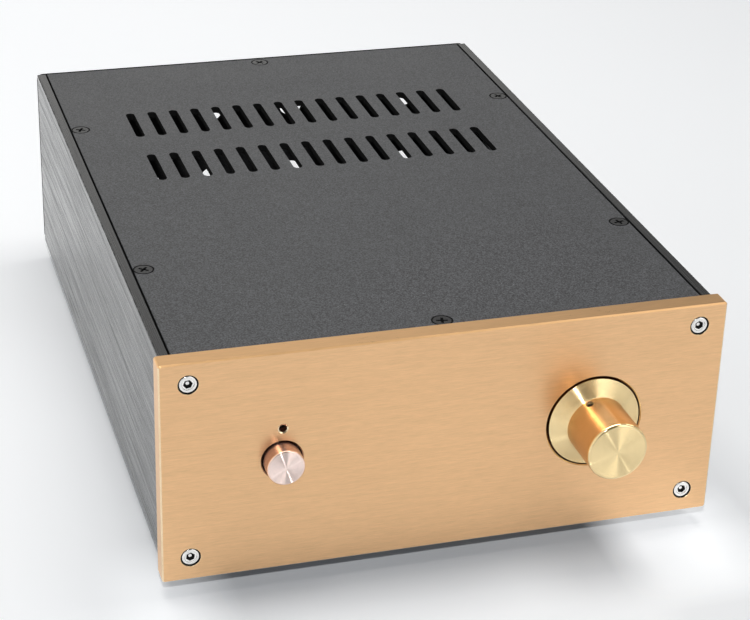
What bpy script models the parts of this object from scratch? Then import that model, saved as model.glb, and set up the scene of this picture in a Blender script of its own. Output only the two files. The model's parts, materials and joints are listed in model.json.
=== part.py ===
"""Bare amplifier chassis: a thick front panel on a case of extruded sides and flat plates.

The chassis stands on the plane z = 0 with its front towards -Y and +X to the right.
The origin lies under the middle of its overall box, which the volume knob's face closes at the front.
All sizes are in metres.
"""
import math

import bmesh
import bpy
from mathutils import Matrix, Vector

MM = 0.001

# Clearances
GAP = 0.3 * MM            # left between pieces that touch on the real chassis
OVERCUT = 1.0 * MM        # how far a cutter runs past the wall that it opens

# Chords round a full circle, from the widest rounds to the smallest holes
ROUND_POCKET = 40
ROUND_KNOB = 36
ROUND_BUTTON = 28
ROUND_BODY = 18
ROUND_MEDIUM = 16
ROUND_SMALL = 12
ROUND_HOLE = 10
ROUND_TINY = 8
HEXAGON = 6

# Front panel, a milled aluminium plate
PANEL_WIDTH = 221.6 * MM
PANEL_HEIGHT = 92.0 * MM
PANEL_THICKNESS = 8.0 * MM
PANEL_CORNER_RADIUS = 1.2 * MM
PANEL_CHAMFER = 0.6 * MM
PANEL_DROP = 2.85 * MM    # how far the panel hangs below the case

# Case behind the panel
CASE_WIDTH = 217.4 * MM
CASE_HEIGHT = 87.8 * MM
CASE_DEPTH = 301.7 * MM
PLATE_THICKNESS = 3.0 * MM
PLATE_HALF_WIDTH = 104.3 * MM
REAR_THICKNESS = 2.0 * MM
REAR_CORNER_RADIUS = 3.0 * MM
EDGE_BREAK = 0.3 * MM
HOLE_EDGE = 0.4 * MM      # chamfer round the pocket and the button's hole
BLIND_WALL = 1.8 * MM     # left in front of a bracket screw's blind hole
SWITCH_BLIND_WALL = 3.6 * MM

# Extruded side panels, with a ledge and a screw channel along each long edge
WALL_THICKNESS = 3.8 * MM
LEDGE_THICKNESS = 2.2 * MM
LEDGE_TIP = 94.0 * MM
CHANNEL_X = 99.8 * MM
CHANNEL_LOW = 6.95 * MM   # channel centres above the case's underside
CHANNEL_HIGH = 80.35 * MM
CHANNEL_RADIUS = 4.0 * MM
CHANNEL_BORE = 2.3 * MM
CHANNEL_MOUTH = 2.0 * MM

# Ventilation slots: two rows in the cover and in the bottom plate
SLOT_COUNT = 16
SLOT_PITCH = 10.0 * MM
SLOT_WIDTH = 4.0 * MM
SLOT_LENGTH = 29.2 * MM
SLOT_ROWS = (174.7 * MM, 225.1 * MM)

# Plate screws: four over the side ledges and two over the middle brackets
PLATE_SCREW_X = 100.0 * MM
PLATE_SCREW_ROWS = (74.6 * MM, 224.6 * MM)
MIDDLE_SCREW_INSET = 5.7 * MM
REAR_MIDDLE_SCREW = CASE_DEPTH - 7.5 * MM

# Rims that the screws share
SUNK_HEAD_RIM = 0.25 * MM
RAISED_HEAD_EDGE = 0.35 * MM
SINK_CLEARANCE = 0.45 * MM
COUNTERBORE_CLEARANCE = 0.65 * MM

# Middle angle brackets
BRACKET_WIDTH = 20.0 * MM
BRACKET_REACH = 12.0 * MM
BRACKET_DROP = 14.0 * MM
BRACKET_THICKNESS = 2.5 * MM
BRACKET_OUTER_RADIUS = 1.5 * MM
BRACKET_INNER_RADIUS = 1.0 * MM
BRACKET_SCREW_DROP = 9.5 * MM

# Feet
FOOT_HEIGHT = 10.0 * MM
FOOT_RADIUS = 15.0 * MM
FOOT_WAIST = 13.2 * MM
FOOT_TAPER_TOP = 5.6 * MM
FOOT_RIM_HEIGHT = 1.0 * MM
FOOT_SCREW_SEAT = 5.0 * MM
GROOVE_RADIUS = 12.0 * MM
GROOVE_TOP = 4.0 * MM
PAD_INNER_RADIUS = 5.6 * MM
FOOT_X = 91.0 * MM
FOOT_ROWS = (49.0 * MM, CASE_DEPTH - 49.7 * MM)

# Volume knob in its pocket
KNOB_X = 59.1 * MM
KNOB_HEIGHT = 46.7 * MM   # above the panel's lower edge
KNOB_PROTRUSION = 24.5 * MM
KNOB_RADIUS = 12.0 * MM
KNOB_EDGE_RADIUS = 1.2 * MM
SKIRT_RADIUS = 18.6 * MM
SKIRT_RISE = 3.0 * MM
SKIRT_EDGE = 0.3 * MM
SKIRT_DEPTH = 2.5 * MM
KNOB_CAVITY_RADIUS = 8.8 * MM
POCKET_RADIUS = 19.3 * MM
POCKET_DEPTH = 3.4 * MM
GRUB_ANGLE = math.radians(113)
GRUB_HEIGHT = 5.2 * MM
GRUB_RECESS = 1.2 * MM

# Potentiometer on the knob's axis, with heights from the front panel's face
POT_BUSH_RADIUS = 4.5 * MM
POT_BUSH_END = 1.0 * MM
POT_BODY_RADIUS = 8.5 * MM
POT_BODY_DEPTH = 9.0 * MM
POT_SHAFT_RADIUS = 3.0 * MM
POT_SHAFT_START = -11.0 * MM
POT_SHAFT_END = 15.0 * MM
POT_SHAFT_FLAT = 2.3 * MM
POT_NUT_RADIUS = 7.4 * MM
POT_NUT_HEIGHT = 2.0 * MM
POT_WASHER_RADIUS = 7.0 * MM
POT_WASHER_THICKNESS = 0.6 * MM
WAFER_SIZE = (13.0 * MM, 9.0 * MM)
WAFER_DROP = 8.5 * MM
WAFER_OFFSET = 1.0 * MM   # from the can's front to the wafer's
WAFER_THICKNESS = 1.6 * MM
LUG_SIZE = (1.2 * MM, 6.0 * MM, 0.6 * MM)
LUG_DROP = 15.0 * MM
LUG_PITCH = 5.0 * MM

# Power button and the plunger of its switch, with heights from the front panel's face
BUTTON_X = -64.8 * MM
BUTTON_HEIGHT = 47.1 * MM
BUTTON_RADIUS = 7.0 * MM
BUTTON_EDGE_RADIUS = 0.7 * MM
BUTTON_HOLE_RADIUS = 7.9 * MM
BUTTON_PROTRUSION = 6.3 * MM
BUTTON_FLANGE_RADIUS = 9.2 * MM
BUTTON_FLANGE_DEPTH = 1.5 * MM
BUTTON_TRAVEL = 3.0 * MM
PLUNGER_RADIUS = 1.7 * MM
PLUNGER_START = -20.0 * MM
PLUNGER_END = -3.4 * MM

# Switch and its folded bracket
SWITCH_SIDE = 8.4 * MM
SWITCH_DEPTH = 12.0 * MM
SWITCH_BOSS_RADIUS = 3.4 * MM
SWITCH_PIN = (0.8 * MM, 0.4 * MM, 3.5 * MM)
SWITCH_PIN_COLUMNS = (-2.5 * MM, 2.5 * MM)
SWITCH_PIN_ROWS = (-2.0 * MM, 0.0, 2.0 * MM)
SWITCH_SHEET = 1.2 * MM
SWITCH_BEND = 0.8 * MM
SWITCH_WEB = -13.4 * MM   # front face of the bracket's web
SWITCH_LEG = 12.0 * MM
SWITCH_TOE = 20.0 * MM
SWITCH_HALF_HEIGHT = 7.0 * MM
SWITCH_SCREW_X = 16.0 * MM

# Indicator lamp in its holder
LED_X = -64.6 * MM
LED_HEIGHT = 60.4 * MM
LED_HOLE_RADIUS = 1.55 * MM
LED_SINK_RADIUS = 2.2 * MM
LED_WALL = 3.3 * MM       # what the holder's blind hole leaves of the panel
LED_RADIUS = 1.5 * MM
LED_BASE = -8.9 * MM
LED_FLANGE_RADIUS = 2.6 * MM
LED_FLANGE_THICKNESS = 1.0 * MM
LED_LEG_SIDE = 0.5 * MM
LED_LEG_SPACING = 2.54 * MM
LED_LEG_LENGTH = 7.0 * MM
LED_HOLDER_RADIUS = 3.2 * MM

# Rear panel openings, with x as seen from behind and heights above the panel's lower edge
SOCKET_RADIUS = 5.8 * MM
SOCKET_COLUMNS = (23.3 * MM, -17.5 * MM, -77.0 * MM)
SOCKET_HEIGHTS = (28.7 * MM, 64.8 * MM)
INLET_X = 72.0 * MM
INLET_HEIGHT = 30.0 * MM
INLET_SIZE = (27.5 * MM, 20.0 * MM)
INLET_SCREW_SPACING = 40.0 * MM
INLET_SCREW_RADIUS = 1.7 * MM

# Positions that follow from the sizes above
OVERALL_DEPTH = KNOB_PROTRUSION + PANEL_THICKNESS + CASE_DEPTH
PANEL_FRONT = KNOB_PROTRUSION - OVERALL_DEPTH / 2
CASE_FRONT = PANEL_FRONT + PANEL_THICKNESS
CASE_REAR = OVERALL_DEPTH / 2
CASE_BOTTOM = FOOT_HEIGHT
CASE_TOP = CASE_BOTTOM + CASE_HEIGHT
PANEL_BOTTOM = CASE_BOTTOM - PANEL_DROP
WALL_INNER = CASE_WIDTH / 2 - WALL_THICKNESS

# Turns a piece built along its own +Z so that it faces one side of the chassis
FACING_UP = (0, 0, 0)
FACING_DOWN = (0, math.pi, 0)
FACING_FRONT = (math.pi / 2, 0, 0)
FACING_REAR = (math.pi / 2, 0, math.pi)


def material(name, colour, metallic, roughness):
    """A plain Principled material."""
    result = bpy.data.materials.new(name)
    result.use_nodes = True
    shader = result.node_tree.nodes["Principled BSDF"]
    shader.inputs["Base Color"].default_value = (*colour, 1)
    shader.inputs["Metallic"].default_value = metallic
    shader.inputs["Roughness"].default_value = roughness
    return result


def place(name, shape, finish, location, facing=FACING_UP):
    """Adds a mesh, or a bmesh that is used up, to the scene as a named object."""
    mesh = shape
    if isinstance(shape, bmesh.types.BMesh):
        mesh = mesh_from(shape, name)
    mesh.materials.clear()
    mesh.materials.append(finish)
    mesh.shade_smooth()
    mesh.set_sharp_from_angle(angle=math.radians(35))
    result = bpy.data.objects.new(name, mesh)
    result.location = location
    result.rotation_euler = facing
    bpy.context.collection.objects.link(result)
    return result


def mesh_from(shape, name="shape"):
    """Turns a bmesh into a mesh whose faces point outwards."""
    mesh = bpy.data.meshes.new(name)
    bmesh.ops.recalc_face_normals(shape, faces=shape.faces)
    shape.to_mesh(mesh)
    shape.free()
    return mesh


def combine(body, tool, operation="DIFFERENCE"):
    """Cuts the tool out of the body, or unites the two, and returns the finished mesh."""
    pieces = []
    for shape in (body, tool):
        mesh = shape if isinstance(shape, bpy.types.Mesh) else mesh_from(shape)
        piece = bpy.data.objects.new("piece", mesh)
        bpy.context.collection.objects.link(piece)
        pieces.append(piece)
    boolean = pieces[0].modifiers.new("combine", "BOOLEAN")
    boolean.operation = operation
    boolean.object = pieces[1]
    bpy.context.view_layer.update()
    evaluated = pieces[0].evaluated_get(bpy.context.evaluated_depsgraph_get())
    result = bpy.data.meshes.new_from_object(evaluated)
    for piece in pieces:
        bpy.data.objects.remove(piece)
    return result


def arc(radius, start, end, steps, centre=(0, 0)):
    """Points on a circle from one angle to another."""
    angles = [start + (end - start) * step / steps for step in range(steps + 1)]
    return [(centre[0] + radius * math.cos(a), centre[1] + radius * math.sin(a)) for a in angles]


def rectangle(width, height, centre=(0, 0), radius=0.0, steps=4):
    """A rectangle's outline, with round corners where it has a radius."""
    points = []
    for turn, (side, rise) in enumerate(((1, 1), (-1, 1), (-1, -1), (1, -1))):
        corner = (centre[0] + side * (width / 2 - radius), centre[1] + rise * (height / 2 - radius))
        start = turn * math.pi / 2
        points += arc(radius, start, start + math.pi / 2, steps, corner) if radius else [corner]
    return points


def slot(width, length, centre, steps):
    """A round-ended slot that runs along Y."""
    reach = (length - width) / 2
    rear = arc(width / 2, 0, math.pi, steps, (centre[0], centre[1] + reach))
    front = arc(width / 2, math.pi, 2 * math.pi, steps, (centre[0], centre[1] - reach))
    return rear + front


def polygon(sides, radius):
    """A regular polygon's outline."""
    return arc(radius, 0, 2 * math.pi, sides)[:-1]


def prism(shape, outline, low, high, frame=Matrix()):
    """Extrudes a flat outline from one height to another along the frame's Z."""
    corners = [shape.verts.new(frame @ Vector((x, y, low))) for x, y in outline]
    face = shape.faces.new(corners)
    grown = bmesh.ops.extrude_face_region(shape, geom=[face])["geom"]
    tops = [item for item in grown if isinstance(item, bmesh.types.BMVert)]
    bmesh.ops.translate(shape, verts=tops, vec=frame.to_3x3() @ Vector((0, 0, high - low)))
    return shape


def turned(shape, profile, segments, frame=Matrix(), ring=False):
    """Spins a profile of (radius, height) points about the frame's Z.

    A solid's profile starts and ends on the axis, and a ring's closes on itself.
    """
    points = [shape.verts.new((radius, 0, height)) for radius, height in profile]
    edges = [shape.edges.new(pair) for pair in zip(points, points[1:])]
    if ring:
        edges.append(shape.edges.new((points[-1], points[0])))
    before = set(shape.verts) - set(points)
    bmesh.ops.spin(shape, geom=points + edges, cent=(0, 0, 0), axis=(0, 0, 1),
                   angle=2 * math.pi, steps=segments, use_merge=True)
    made = [vert for vert in shape.verts if vert not in before]
    bmesh.ops.remove_doubles(shape, verts=made, dist=1e-7)
    made = [vert for vert in shape.verts if vert not in before]
    bmesh.ops.transform(shape, matrix=frame, verts=made)
    return shape


def rod(shape, radius, low, high, segments, frame=Matrix()):
    """A plain cylinder between two heights on the frame's Z."""
    return turned(shape, [(0, low), (radius, low), (radius, high), (0, high)], segments, frame)


def at(x, y, z=0.0):
    """A frame moved to a point."""
    return Matrix.Translation((x, y, z))


def break_edges(shape, height, width, segments=1):
    """Bevels the edges that lie all round a face at one height."""
    edges = [edge for edge in shape.edges if all(abs(v.co.z - height) < 1e-6 for v in edge.verts)]
    bmesh.ops.bevel(shape, geom=edges, offset=width, offset_type="OFFSET", segments=segments,
                    profile=0.5, affect="EDGES")
    return shape


class ScrewSize:
    """The sizes of one kind of screw, with its head at the height 0."""

    def __init__(self, shank, head, head_height, length, segments=ROUND_TINY):
        self.shank = shank
        self.head = head
        self.head_height = head_height
        self.length = length
        self.segments = segments

    def countersunk(self):
        """A flat-headed screw, whose head ends flush."""
        profile = [(0, -self.length), (self.shank, -self.length), (self.shank, -self.head_height),
                   (self.head, -SUNK_HEAD_RIM), (self.head, 0), (0, 0)]
        return turned(bmesh.new(), profile, self.segments)

    def cylinder_head(self):
        """A screw whose head stands up from the height 0, with a broken edge."""
        edge = RAISED_HEAD_EDGE
        profile = [(0, -self.length), (self.shank, -self.length), (self.shank, 0), (self.head, 0),
                   (self.head, self.head_height - edge), (self.head - edge, self.head_height),
                   (0, self.head_height)]
        return turned(bmesh.new(), profile, self.segments)

    def hole(self, shape, frame, depth):
        """Adds a plain clearance hole that starts above the height 0."""
        return rod(shape, self.shank + GAP, -depth, OVERCUT, ROUND_HOLE, frame)

    def sink(self, shape, frame, depth):
        """Adds a countersunk clearance hole, whose cone meets the surface at the height 0."""
        top = self.head + SINK_CLEARANCE
        bore = self.shank + GAP
        profile = [(0, -depth), (bore, -depth), (bore, bore - top), (top + OVERCUT, OVERCUT), (0, OVERCUT)]
        return turned(shape, profile, ROUND_HOLE, frame)


PLATE_SCREW = ScrewSize(shank=2.0 * MM, head=3.6 * MM, head_height=1.85 * MM, length=6.0 * MM)
REAR_SCREW = ScrewSize(shank=2.0 * MM, head=3.6 * MM, head_height=1.85 * MM, length=14.0 * MM)
PANEL_SCREW = ScrewSize(shank=2.0 * MM, head=3.4 * MM, head_height=2.6 * MM, length=16.0 * MM,
                        segments=ROUND_SMALL)
BRACKET_SCREW = ScrewSize(shank=1.5 * MM, head=2.6 * MM, head_height=1.8 * MM, length=7.6 * MM)
REAR_BRACKET_SCREW = ScrewSize(shank=1.5 * MM, head=2.7 * MM, head_height=1.45 * MM, length=6.0 * MM)
SWITCH_SCREW = ScrewSize(shank=1.25 * MM, head=2.2 * MM, head_height=1.6 * MM, length=4.6 * MM)
FOOT_SCREW = ScrewSize(shank=2.0 * MM, head=3.6 * MM, head_height=2.4 * MM, length=11.0 * MM)
GRUB_SCREW = ScrewSize(shank=1.5 * MM, head=1.5 * MM, head_height=0.0, length=7.9 * MM)
PANEL_SOCKET_RADIUS = 1.75 * MM
PANEL_SOCKET_FLOOR = 0.8 * MM
GRUB_SOCKET_RADIUS = 0.85 * MM
GRUB_SOCKET_DEPTH = 1.6 * MM


def channel_edge(ledge_face, centre_height, direction):
    """One long edge of the side extrusion: its ledge and the open screw channel under it.

    The points run from the wall, round the ledge's tip and the channel, and back to the wall.
    The direction is 1 for the upper edge and -1 for the lower one.
    """
    under_face = ledge_face - direction * LEDGE_THICKNESS
    start = math.asin(direction * (under_face - centre_height) / CHANNEL_RADIUS)
    lip = math.asin(CHANNEL_MOUTH / 2 / CHANNEL_RADIUS)
    inner_lip = math.asin(CHANNEL_MOUTH / 2 / CHANNEL_BORE)
    down = 1.5 * math.pi
    channel = arc(CHANNEL_RADIUS, math.pi - start, down - lip, 3)
    channel += arc(CHANNEL_BORE, down - inner_lip, inner_lip - math.pi / 2, 8)
    channel += arc(CHANNEL_RADIUS, down + lip, 2 * math.pi + start, 3)
    around = [(CHANNEL_X + u, centre_height + direction * v) for u, v in channel]
    ledge = [(WALL_INNER, ledge_face), (LEDGE_TIP, ledge_face), (LEDGE_TIP, under_face)]
    return ledge + around + [(WALL_INNER, under_face)]


def side_outline(side):
    """The side extrusion's section, as (x, z), for the right (1) or the left (-1) side."""
    outer = CASE_WIDTH / 2
    seat = PLATE_THICKNESS + GAP
    upper = channel_edge(CASE_TOP - seat, CASE_BOTTOM + CHANNEL_HIGH, 1)
    lower = channel_edge(CASE_BOTTOM + seat, CASE_BOTTOM + CHANNEL_LOW, -1)
    points = [(outer, CASE_BOTTOM + EDGE_BREAK), (outer, CASE_TOP - EDGE_BREAK),
              (outer - EDGE_BREAK, CASE_TOP), (WALL_INNER, CASE_TOP)]
    points += upper + lower[::-1]
    points += [(WALL_INNER, CASE_BOTTOM), (outer - EDGE_BREAK, CASE_BOTTOM)]
    return [(side * x, z) for x, z in points]


def plate_screw_points():
    """Where the cover's and the bottom plate's screws go, as (x, distance behind the panel)."""
    sides = [(side * PLATE_SCREW_X, row) for row in PLATE_SCREW_ROWS for side in (-1, 1)]
    return sides + [(0, MIDDLE_SCREW_INSET), (0, REAR_MIDDLE_SCREW)]


def corner_screw_points():
    """Where the front and rear panels' screws enter the side channels, as (x, z)."""
    heights = (CASE_BOTTOM + CHANNEL_LOW, CASE_BOTTOM + CHANNEL_HIGH)
    return [(side * CHANNEL_X, height) for height in heights for side in (-1, 1)]


def foot_points():
    """The feet's centres, as (x, distance behind the panel)."""
    return [(side * FOOT_X, row) for row in FOOT_ROWS for side in (-1, 1)]


def build_front_panel(finish, screw_finish):
    """The front panel and the four screws that hold it to the side channels."""
    middle = (0, PANEL_BOTTOM + PANEL_HEIGHT / 2)
    outline = rectangle(PANEL_WIDTH, PANEL_HEIGHT, middle, PANEL_CORNER_RADIUS, steps=3)
    body = prism(bmesh.new(), outline, -PANEL_THICKNESS, 0)
    break_edges(body, 0, PANEL_CHAMFER)
    through = PANEL_THICKNESS + OVERCUT
    cutter = bmesh.new()

    # The knob's pocket, with the hole for the potentiometer's bush in its floor
    bush = POT_BUSH_RADIUS + GAP
    edge = HOLE_EDGE
    pocket = [(0, -through), (bush, -through), (bush, -POCKET_DEPTH), (POCKET_RADIUS, -POCKET_DEPTH),
              (POCKET_RADIUS, -edge), (POCKET_RADIUS + edge + OVERCUT, OVERCUT), (0, OVERCUT)]
    turned(cutter, pocket, ROUND_POCKET, at(KNOB_X, PANEL_BOTTOM + KNOB_HEIGHT))

    # The power button's hole, with a broken edge
    button = [(0, -through), (BUTTON_HOLE_RADIUS, -through), (BUTTON_HOLE_RADIUS, -edge),
              (BUTTON_HOLE_RADIUS + edge + OVERCUT, OVERCUT), (0, OVERCUT)]
    turned(cutter, button, ROUND_BUTTON, at(BUTTON_X, PANEL_BOTTOM + BUTTON_HEIGHT))

    # The lamp's sight hole, which widens behind to take the lamp's holder
    sink = LED_SINK_RADIUS - LED_HOLE_RADIUS
    lamp = [(0, -through), (LED_HOLDER_RADIUS + GAP, -through), (LED_HOLDER_RADIUS + GAP, -LED_WALL),
            (LED_HOLE_RADIUS, -LED_WALL), (LED_HOLE_RADIUS, -sink),
            (LED_SINK_RADIUS + OVERCUT, OVERCUT), (0, OVERCUT)]
    turned(cutter, lamp, ROUND_MEDIUM, at(LED_X, PANEL_BOTTOM + LED_HEIGHT))

    # Counterbored screw holes at the corners
    bore = PANEL_SCREW.shank + GAP
    rim = PANEL_SCREW.head + COUNTERBORE_CLEARANCE
    seat = PANEL_SCREW.head_height + 2 * GAP
    counterbore = [(0, -through), (bore, -through), (bore, -seat), (rim, -seat), (rim, OVERCUT),
                   (0, OVERCUT)]
    for x, z in corner_screw_points():
        turned(cutter, counterbore, ROUND_SMALL, at(x, z))

    # Blind holes in the panel's back for the brackets' screws
    for z in bracket_screw_heights():
        rod(cutter, BRACKET_SCREW.shank + GAP, -through, -BLIND_WALL, ROUND_TINY, at(0, z))
    for x in switch_screw_places():
        rod(cutter, SWITCH_SCREW.shank + GAP, -through, -SWITCH_BLIND_WALL, ROUND_TINY,
            at(x, PANEL_BOTTOM + BUTTON_HEIGHT))
    place("front_panel", combine(body, cutter), finish, (0, PANEL_FRONT, 0), FACING_FRONT)

    socket = prism(bmesh.new(), polygon(HEXAGON, PANEL_SOCKET_RADIUS), PANEL_SOCKET_FLOOR,
                   PANEL_SCREW.head_height + OVERCUT)
    screw = combine(PANEL_SCREW.cylinder_head(), socket)
    for index, (x, z) in enumerate(corner_screw_points(), 1):
        location = (x, PANEL_FRONT + seat - GAP, z)
        place(f"front_panel_screw_{index}", screw.copy(), screw_finish, location, FACING_FRONT)


def build_side_panels(finish):
    """The two extruded sides, drilled through their ledges for the plates' screws."""
    front = PANEL_THICKNESS + GAP
    rear = PANEL_THICKNESS + CASE_DEPTH - REAR_THICKNESS - GAP
    depth = PLATE_THICKNESS + GAP + LEDGE_THICKNESS + OVERCUT
    for name, side in (("side_panel_left", -1), ("side_panel_right", 1)):
        body = prism(bmesh.new(), side_outline(side), -rear, -front)
        cutter = bmesh.new()
        for row in PLATE_SCREW_ROWS:
            for height, turn in ((CASE_TOP, -math.pi / 2), (CASE_BOTTOM, math.pi / 2)):
                frame = at(side * PLATE_SCREW_X, height, -PANEL_THICKNESS - row)
                PLATE_SCREW.hole(cutter, frame @ Matrix.Rotation(turn, 4, "X"), depth)
        place(name, combine(body, cutter), finish, (0, PANEL_FRONT, 0), FACING_FRONT)


def build_plate(name, screw_name, slot_steps, height, facing, finish, screw_finish, extra_holes=()):
    """The vented cover or bottom plate with its countersunk screws.

    The plate's own +Z points out of the chassis and its +Y runs back from the panel.
    """
    front = GAP
    rear = CASE_DEPTH - REAR_THICKNESS - GAP
    outline = rectangle(2 * PLATE_HALF_WIDTH, rear - front, (0, (front + rear) / 2))
    body = prism(bmesh.new(), outline, -PLATE_THICKNESS, 0)
    break_edges(body, 0, EDGE_BREAK)
    depth = PLATE_THICKNESS + OVERCUT
    cutter = bmesh.new()
    for row in SLOT_ROWS:
        for index in range(SLOT_COUNT):
            x = (index - (SLOT_COUNT - 1) / 2) * SLOT_PITCH
            prism(cutter, slot(SLOT_WIDTH, SLOT_LENGTH, (x, row), slot_steps), -depth, OVERCUT)
    for x, y in plate_screw_points():
        PLATE_SCREW.sink(cutter, at(x, y), depth)
    for x, y in extra_holes:
        FOOT_SCREW.hole(cutter, at(x, y), depth)
    place(name, combine(body, cutter), finish, (0, CASE_FRONT, height), facing)
    screw = mesh_from(PLATE_SCREW.countersunk(), screw_name)
    turn = -1 if facing == FACING_DOWN else 1
    for index, (x, y) in enumerate(plate_screw_points(), 1):
        location = (turn * x, CASE_FRONT + y, height)
        place(f"{screw_name}_{index}", screw.copy(), screw_finish, location, facing)


def build_rear_panel(finish, screw_finish):
    """The rear panel with its connector holes, and the screws that enter the side channels.

    The panel's own +Z points backwards, and its x is as seen from behind.
    """
    middle = (0, CASE_BOTTOM + CASE_HEIGHT / 2)
    outline = rectangle(CASE_WIDTH, CASE_HEIGHT - 2 * GAP, middle, REAR_CORNER_RADIUS)
    body = prism(bmesh.new(), outline, -REAR_THICKNESS, 0)
    break_edges(body, 0, EDGE_BREAK)
    depth = REAR_THICKNESS + OVERCUT
    cutter = bmesh.new()
    for x in SOCKET_COLUMNS:
        for height in SOCKET_HEIGHTS:
            rod(cutter, SOCKET_RADIUS, -depth, OVERCUT, ROUND_MEDIUM, at(x, PANEL_BOTTOM + height))
    inlet = (INLET_X, PANEL_BOTTOM + INLET_HEIGHT)
    prism(cutter, rectangle(*INLET_SIZE, inlet), -depth, OVERCUT)
    for side in (-1, 1):
        screw = at(inlet[0] + side * INLET_SCREW_SPACING / 2, inlet[1])
        rod(cutter, INLET_SCREW_RADIUS, -depth, OVERCUT, ROUND_HOLE, screw)
    for x, z in corner_screw_points():
        REAR_SCREW.sink(cutter, at(x, z), depth)
    for z in bracket_screw_heights():
        REAR_BRACKET_SCREW.sink(cutter, at(0, z), depth)
    place("rear_panel", combine(body, cutter), finish, (0, CASE_REAR, 0), FACING_REAR)

    screw = mesh_from(REAR_SCREW.countersunk(), "rear_panel_screw")
    for index, (x, z) in enumerate(corner_screw_points(), 1):
        place(f"rear_panel_screw_{index}", screw.copy(), screw_finish, (x, CASE_REAR, z), FACING_REAR)


def bracket_screw_heights():
    """The heights of the screws that hold the lower and upper brackets to the panels."""
    drop = PLATE_THICKNESS + GAP + BRACKET_SCREW_DROP
    return (CASE_BOTTOM + drop, CASE_TOP - drop)


def bracket_outline(direction, rise):
    """An angle bracket's section, as (y, z) from the corner between a panel and a plate.

    It has a rounded bend. The direction is 1 behind the front panel and -1 before the rear one,
    and the rise is -1 under the cover and 1 on the bottom plate.
    """
    thickness = BRACKET_THICKNESS
    bend = BRACKET_OUTER_RADIUS
    fillet = BRACKET_INNER_RADIUS
    points = [(BRACKET_REACH, 0), (BRACKET_REACH, thickness)]
    corner = (thickness + fillet, thickness + fillet)
    points += arc(fillet, 1.5 * math.pi, math.pi, 2, corner)
    points += [(thickness, BRACKET_DROP), (0, BRACKET_DROP)]
    points += arc(bend, math.pi, 1.5 * math.pi, 2, (bend, bend))
    return [(direction * y, rise * z) for y, z in points]


def build_brackets(finish, screw_finish):
    """Four angle brackets that carry the plates' middle screws, each held by one screw."""
    sideways = Matrix(((0, 0, 1, 0), (1, 0, 0, 0), (0, 1, 0, 0), (0, 0, 0, 1)))
    bracket_height = {-1: CASE_BOTTOM + PLATE_THICKNESS + GAP, 1: CASE_TOP - PLATE_THICKNESS - GAP}
    ends = (("front", CASE_FRONT + GAP, 1, CASE_FRONT + MIDDLE_SCREW_INSET),
            ("rear", CASE_REAR - REAR_THICKNESS - GAP, -1, CASE_FRONT + REAR_MIDDLE_SCREW))
    half = BRACKET_WIDTH / 2
    for end, face, direction, screw_y in ends:
        for label, upward, screw_z in zip(("bottom", "top"), (-1, 1), bracket_screw_heights()):
            height = bracket_height[upward]
            body = prism(bmesh.new(), bracket_outline(direction, -upward), -half, half, sideways)
            cutter = bmesh.new()
            reach = BRACKET_THICKNESS + OVERCUT
            rod(cutter, PLATE_SCREW.shank + GAP, -reach, reach, ROUND_HOLE, at(0, screw_y - face))
            across = at(0, 0, screw_z - height) @ Matrix.Rotation(math.pi / 2, 4, "X")
            rod(cutter, BRACKET_SCREW.shank + GAP, -reach, reach, ROUND_TINY, across)
            place(f"bracket_{end}_{label}", combine(body, cutter), finish, (0, face, height))
            name = f"bracket_screw_{end}_{label}"
            if end == "front":
                seat = face + BRACKET_THICKNESS + GAP
                place(name, BRACKET_SCREW.cylinder_head(), screw_finish, (0, seat, screw_z), FACING_REAR)
            else:
                place(name, REAR_BRACKET_SCREW.countersunk(), screw_finish, (0, CASE_REAR, screw_z),
                      FACING_REAR)


def build_feet(finish, pad_finish, screw_finish):
    """Four turned feet, each with a rubber pad in its groove and a screw up into the plate."""
    bore = FOOT_SCREW.shank + GAP
    top = FOOT_HEIGHT - GAP
    edge = 2 * EDGE_BREAK
    counterbore = FOOT_SCREW.head + edge
    shell = [(bore, top), (FOOT_RADIUS - edge, top), (FOOT_RADIUS, top - edge),
             (FOOT_RADIUS, FOOT_TAPER_TOP), (FOOT_WAIST, FOOT_RIM_HEIGHT), (GROOVE_RADIUS, FOOT_RIM_HEIGHT),
             (GROOVE_RADIUS, GROOVE_TOP), (counterbore, GROOVE_TOP), (counterbore, FOOT_SCREW_SEAT),
             (bore, FOOT_SCREW_SEAT)]
    pad_outer = GROOVE_RADIUS - GAP
    pad_top = GROOVE_TOP - GAP
    pad = [(PAD_INNER_RADIUS, pad_top), (pad_outer, pad_top), (pad_outer, 0), (PAD_INNER_RADIUS, 0)]
    for index, (x, y) in enumerate(foot_points(), 1):
        centre = (x, CASE_FRONT + y)
        foot = turned(bmesh.new(), shell, ROUND_BODY, ring=True)
        place(f"foot_{index}", foot, finish, (*centre, 0))
        foot_pad = turned(bmesh.new(), pad, ROUND_MEDIUM, ring=True)
        place(f"foot_pad_{index}", foot_pad, pad_finish, (*centre, 0))
        place(f"foot_screw_{index}", FOOT_SCREW.cylinder_head(), screw_finish,
              (*centre, FOOT_SCREW_SEAT - GAP), FACING_DOWN)


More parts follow.
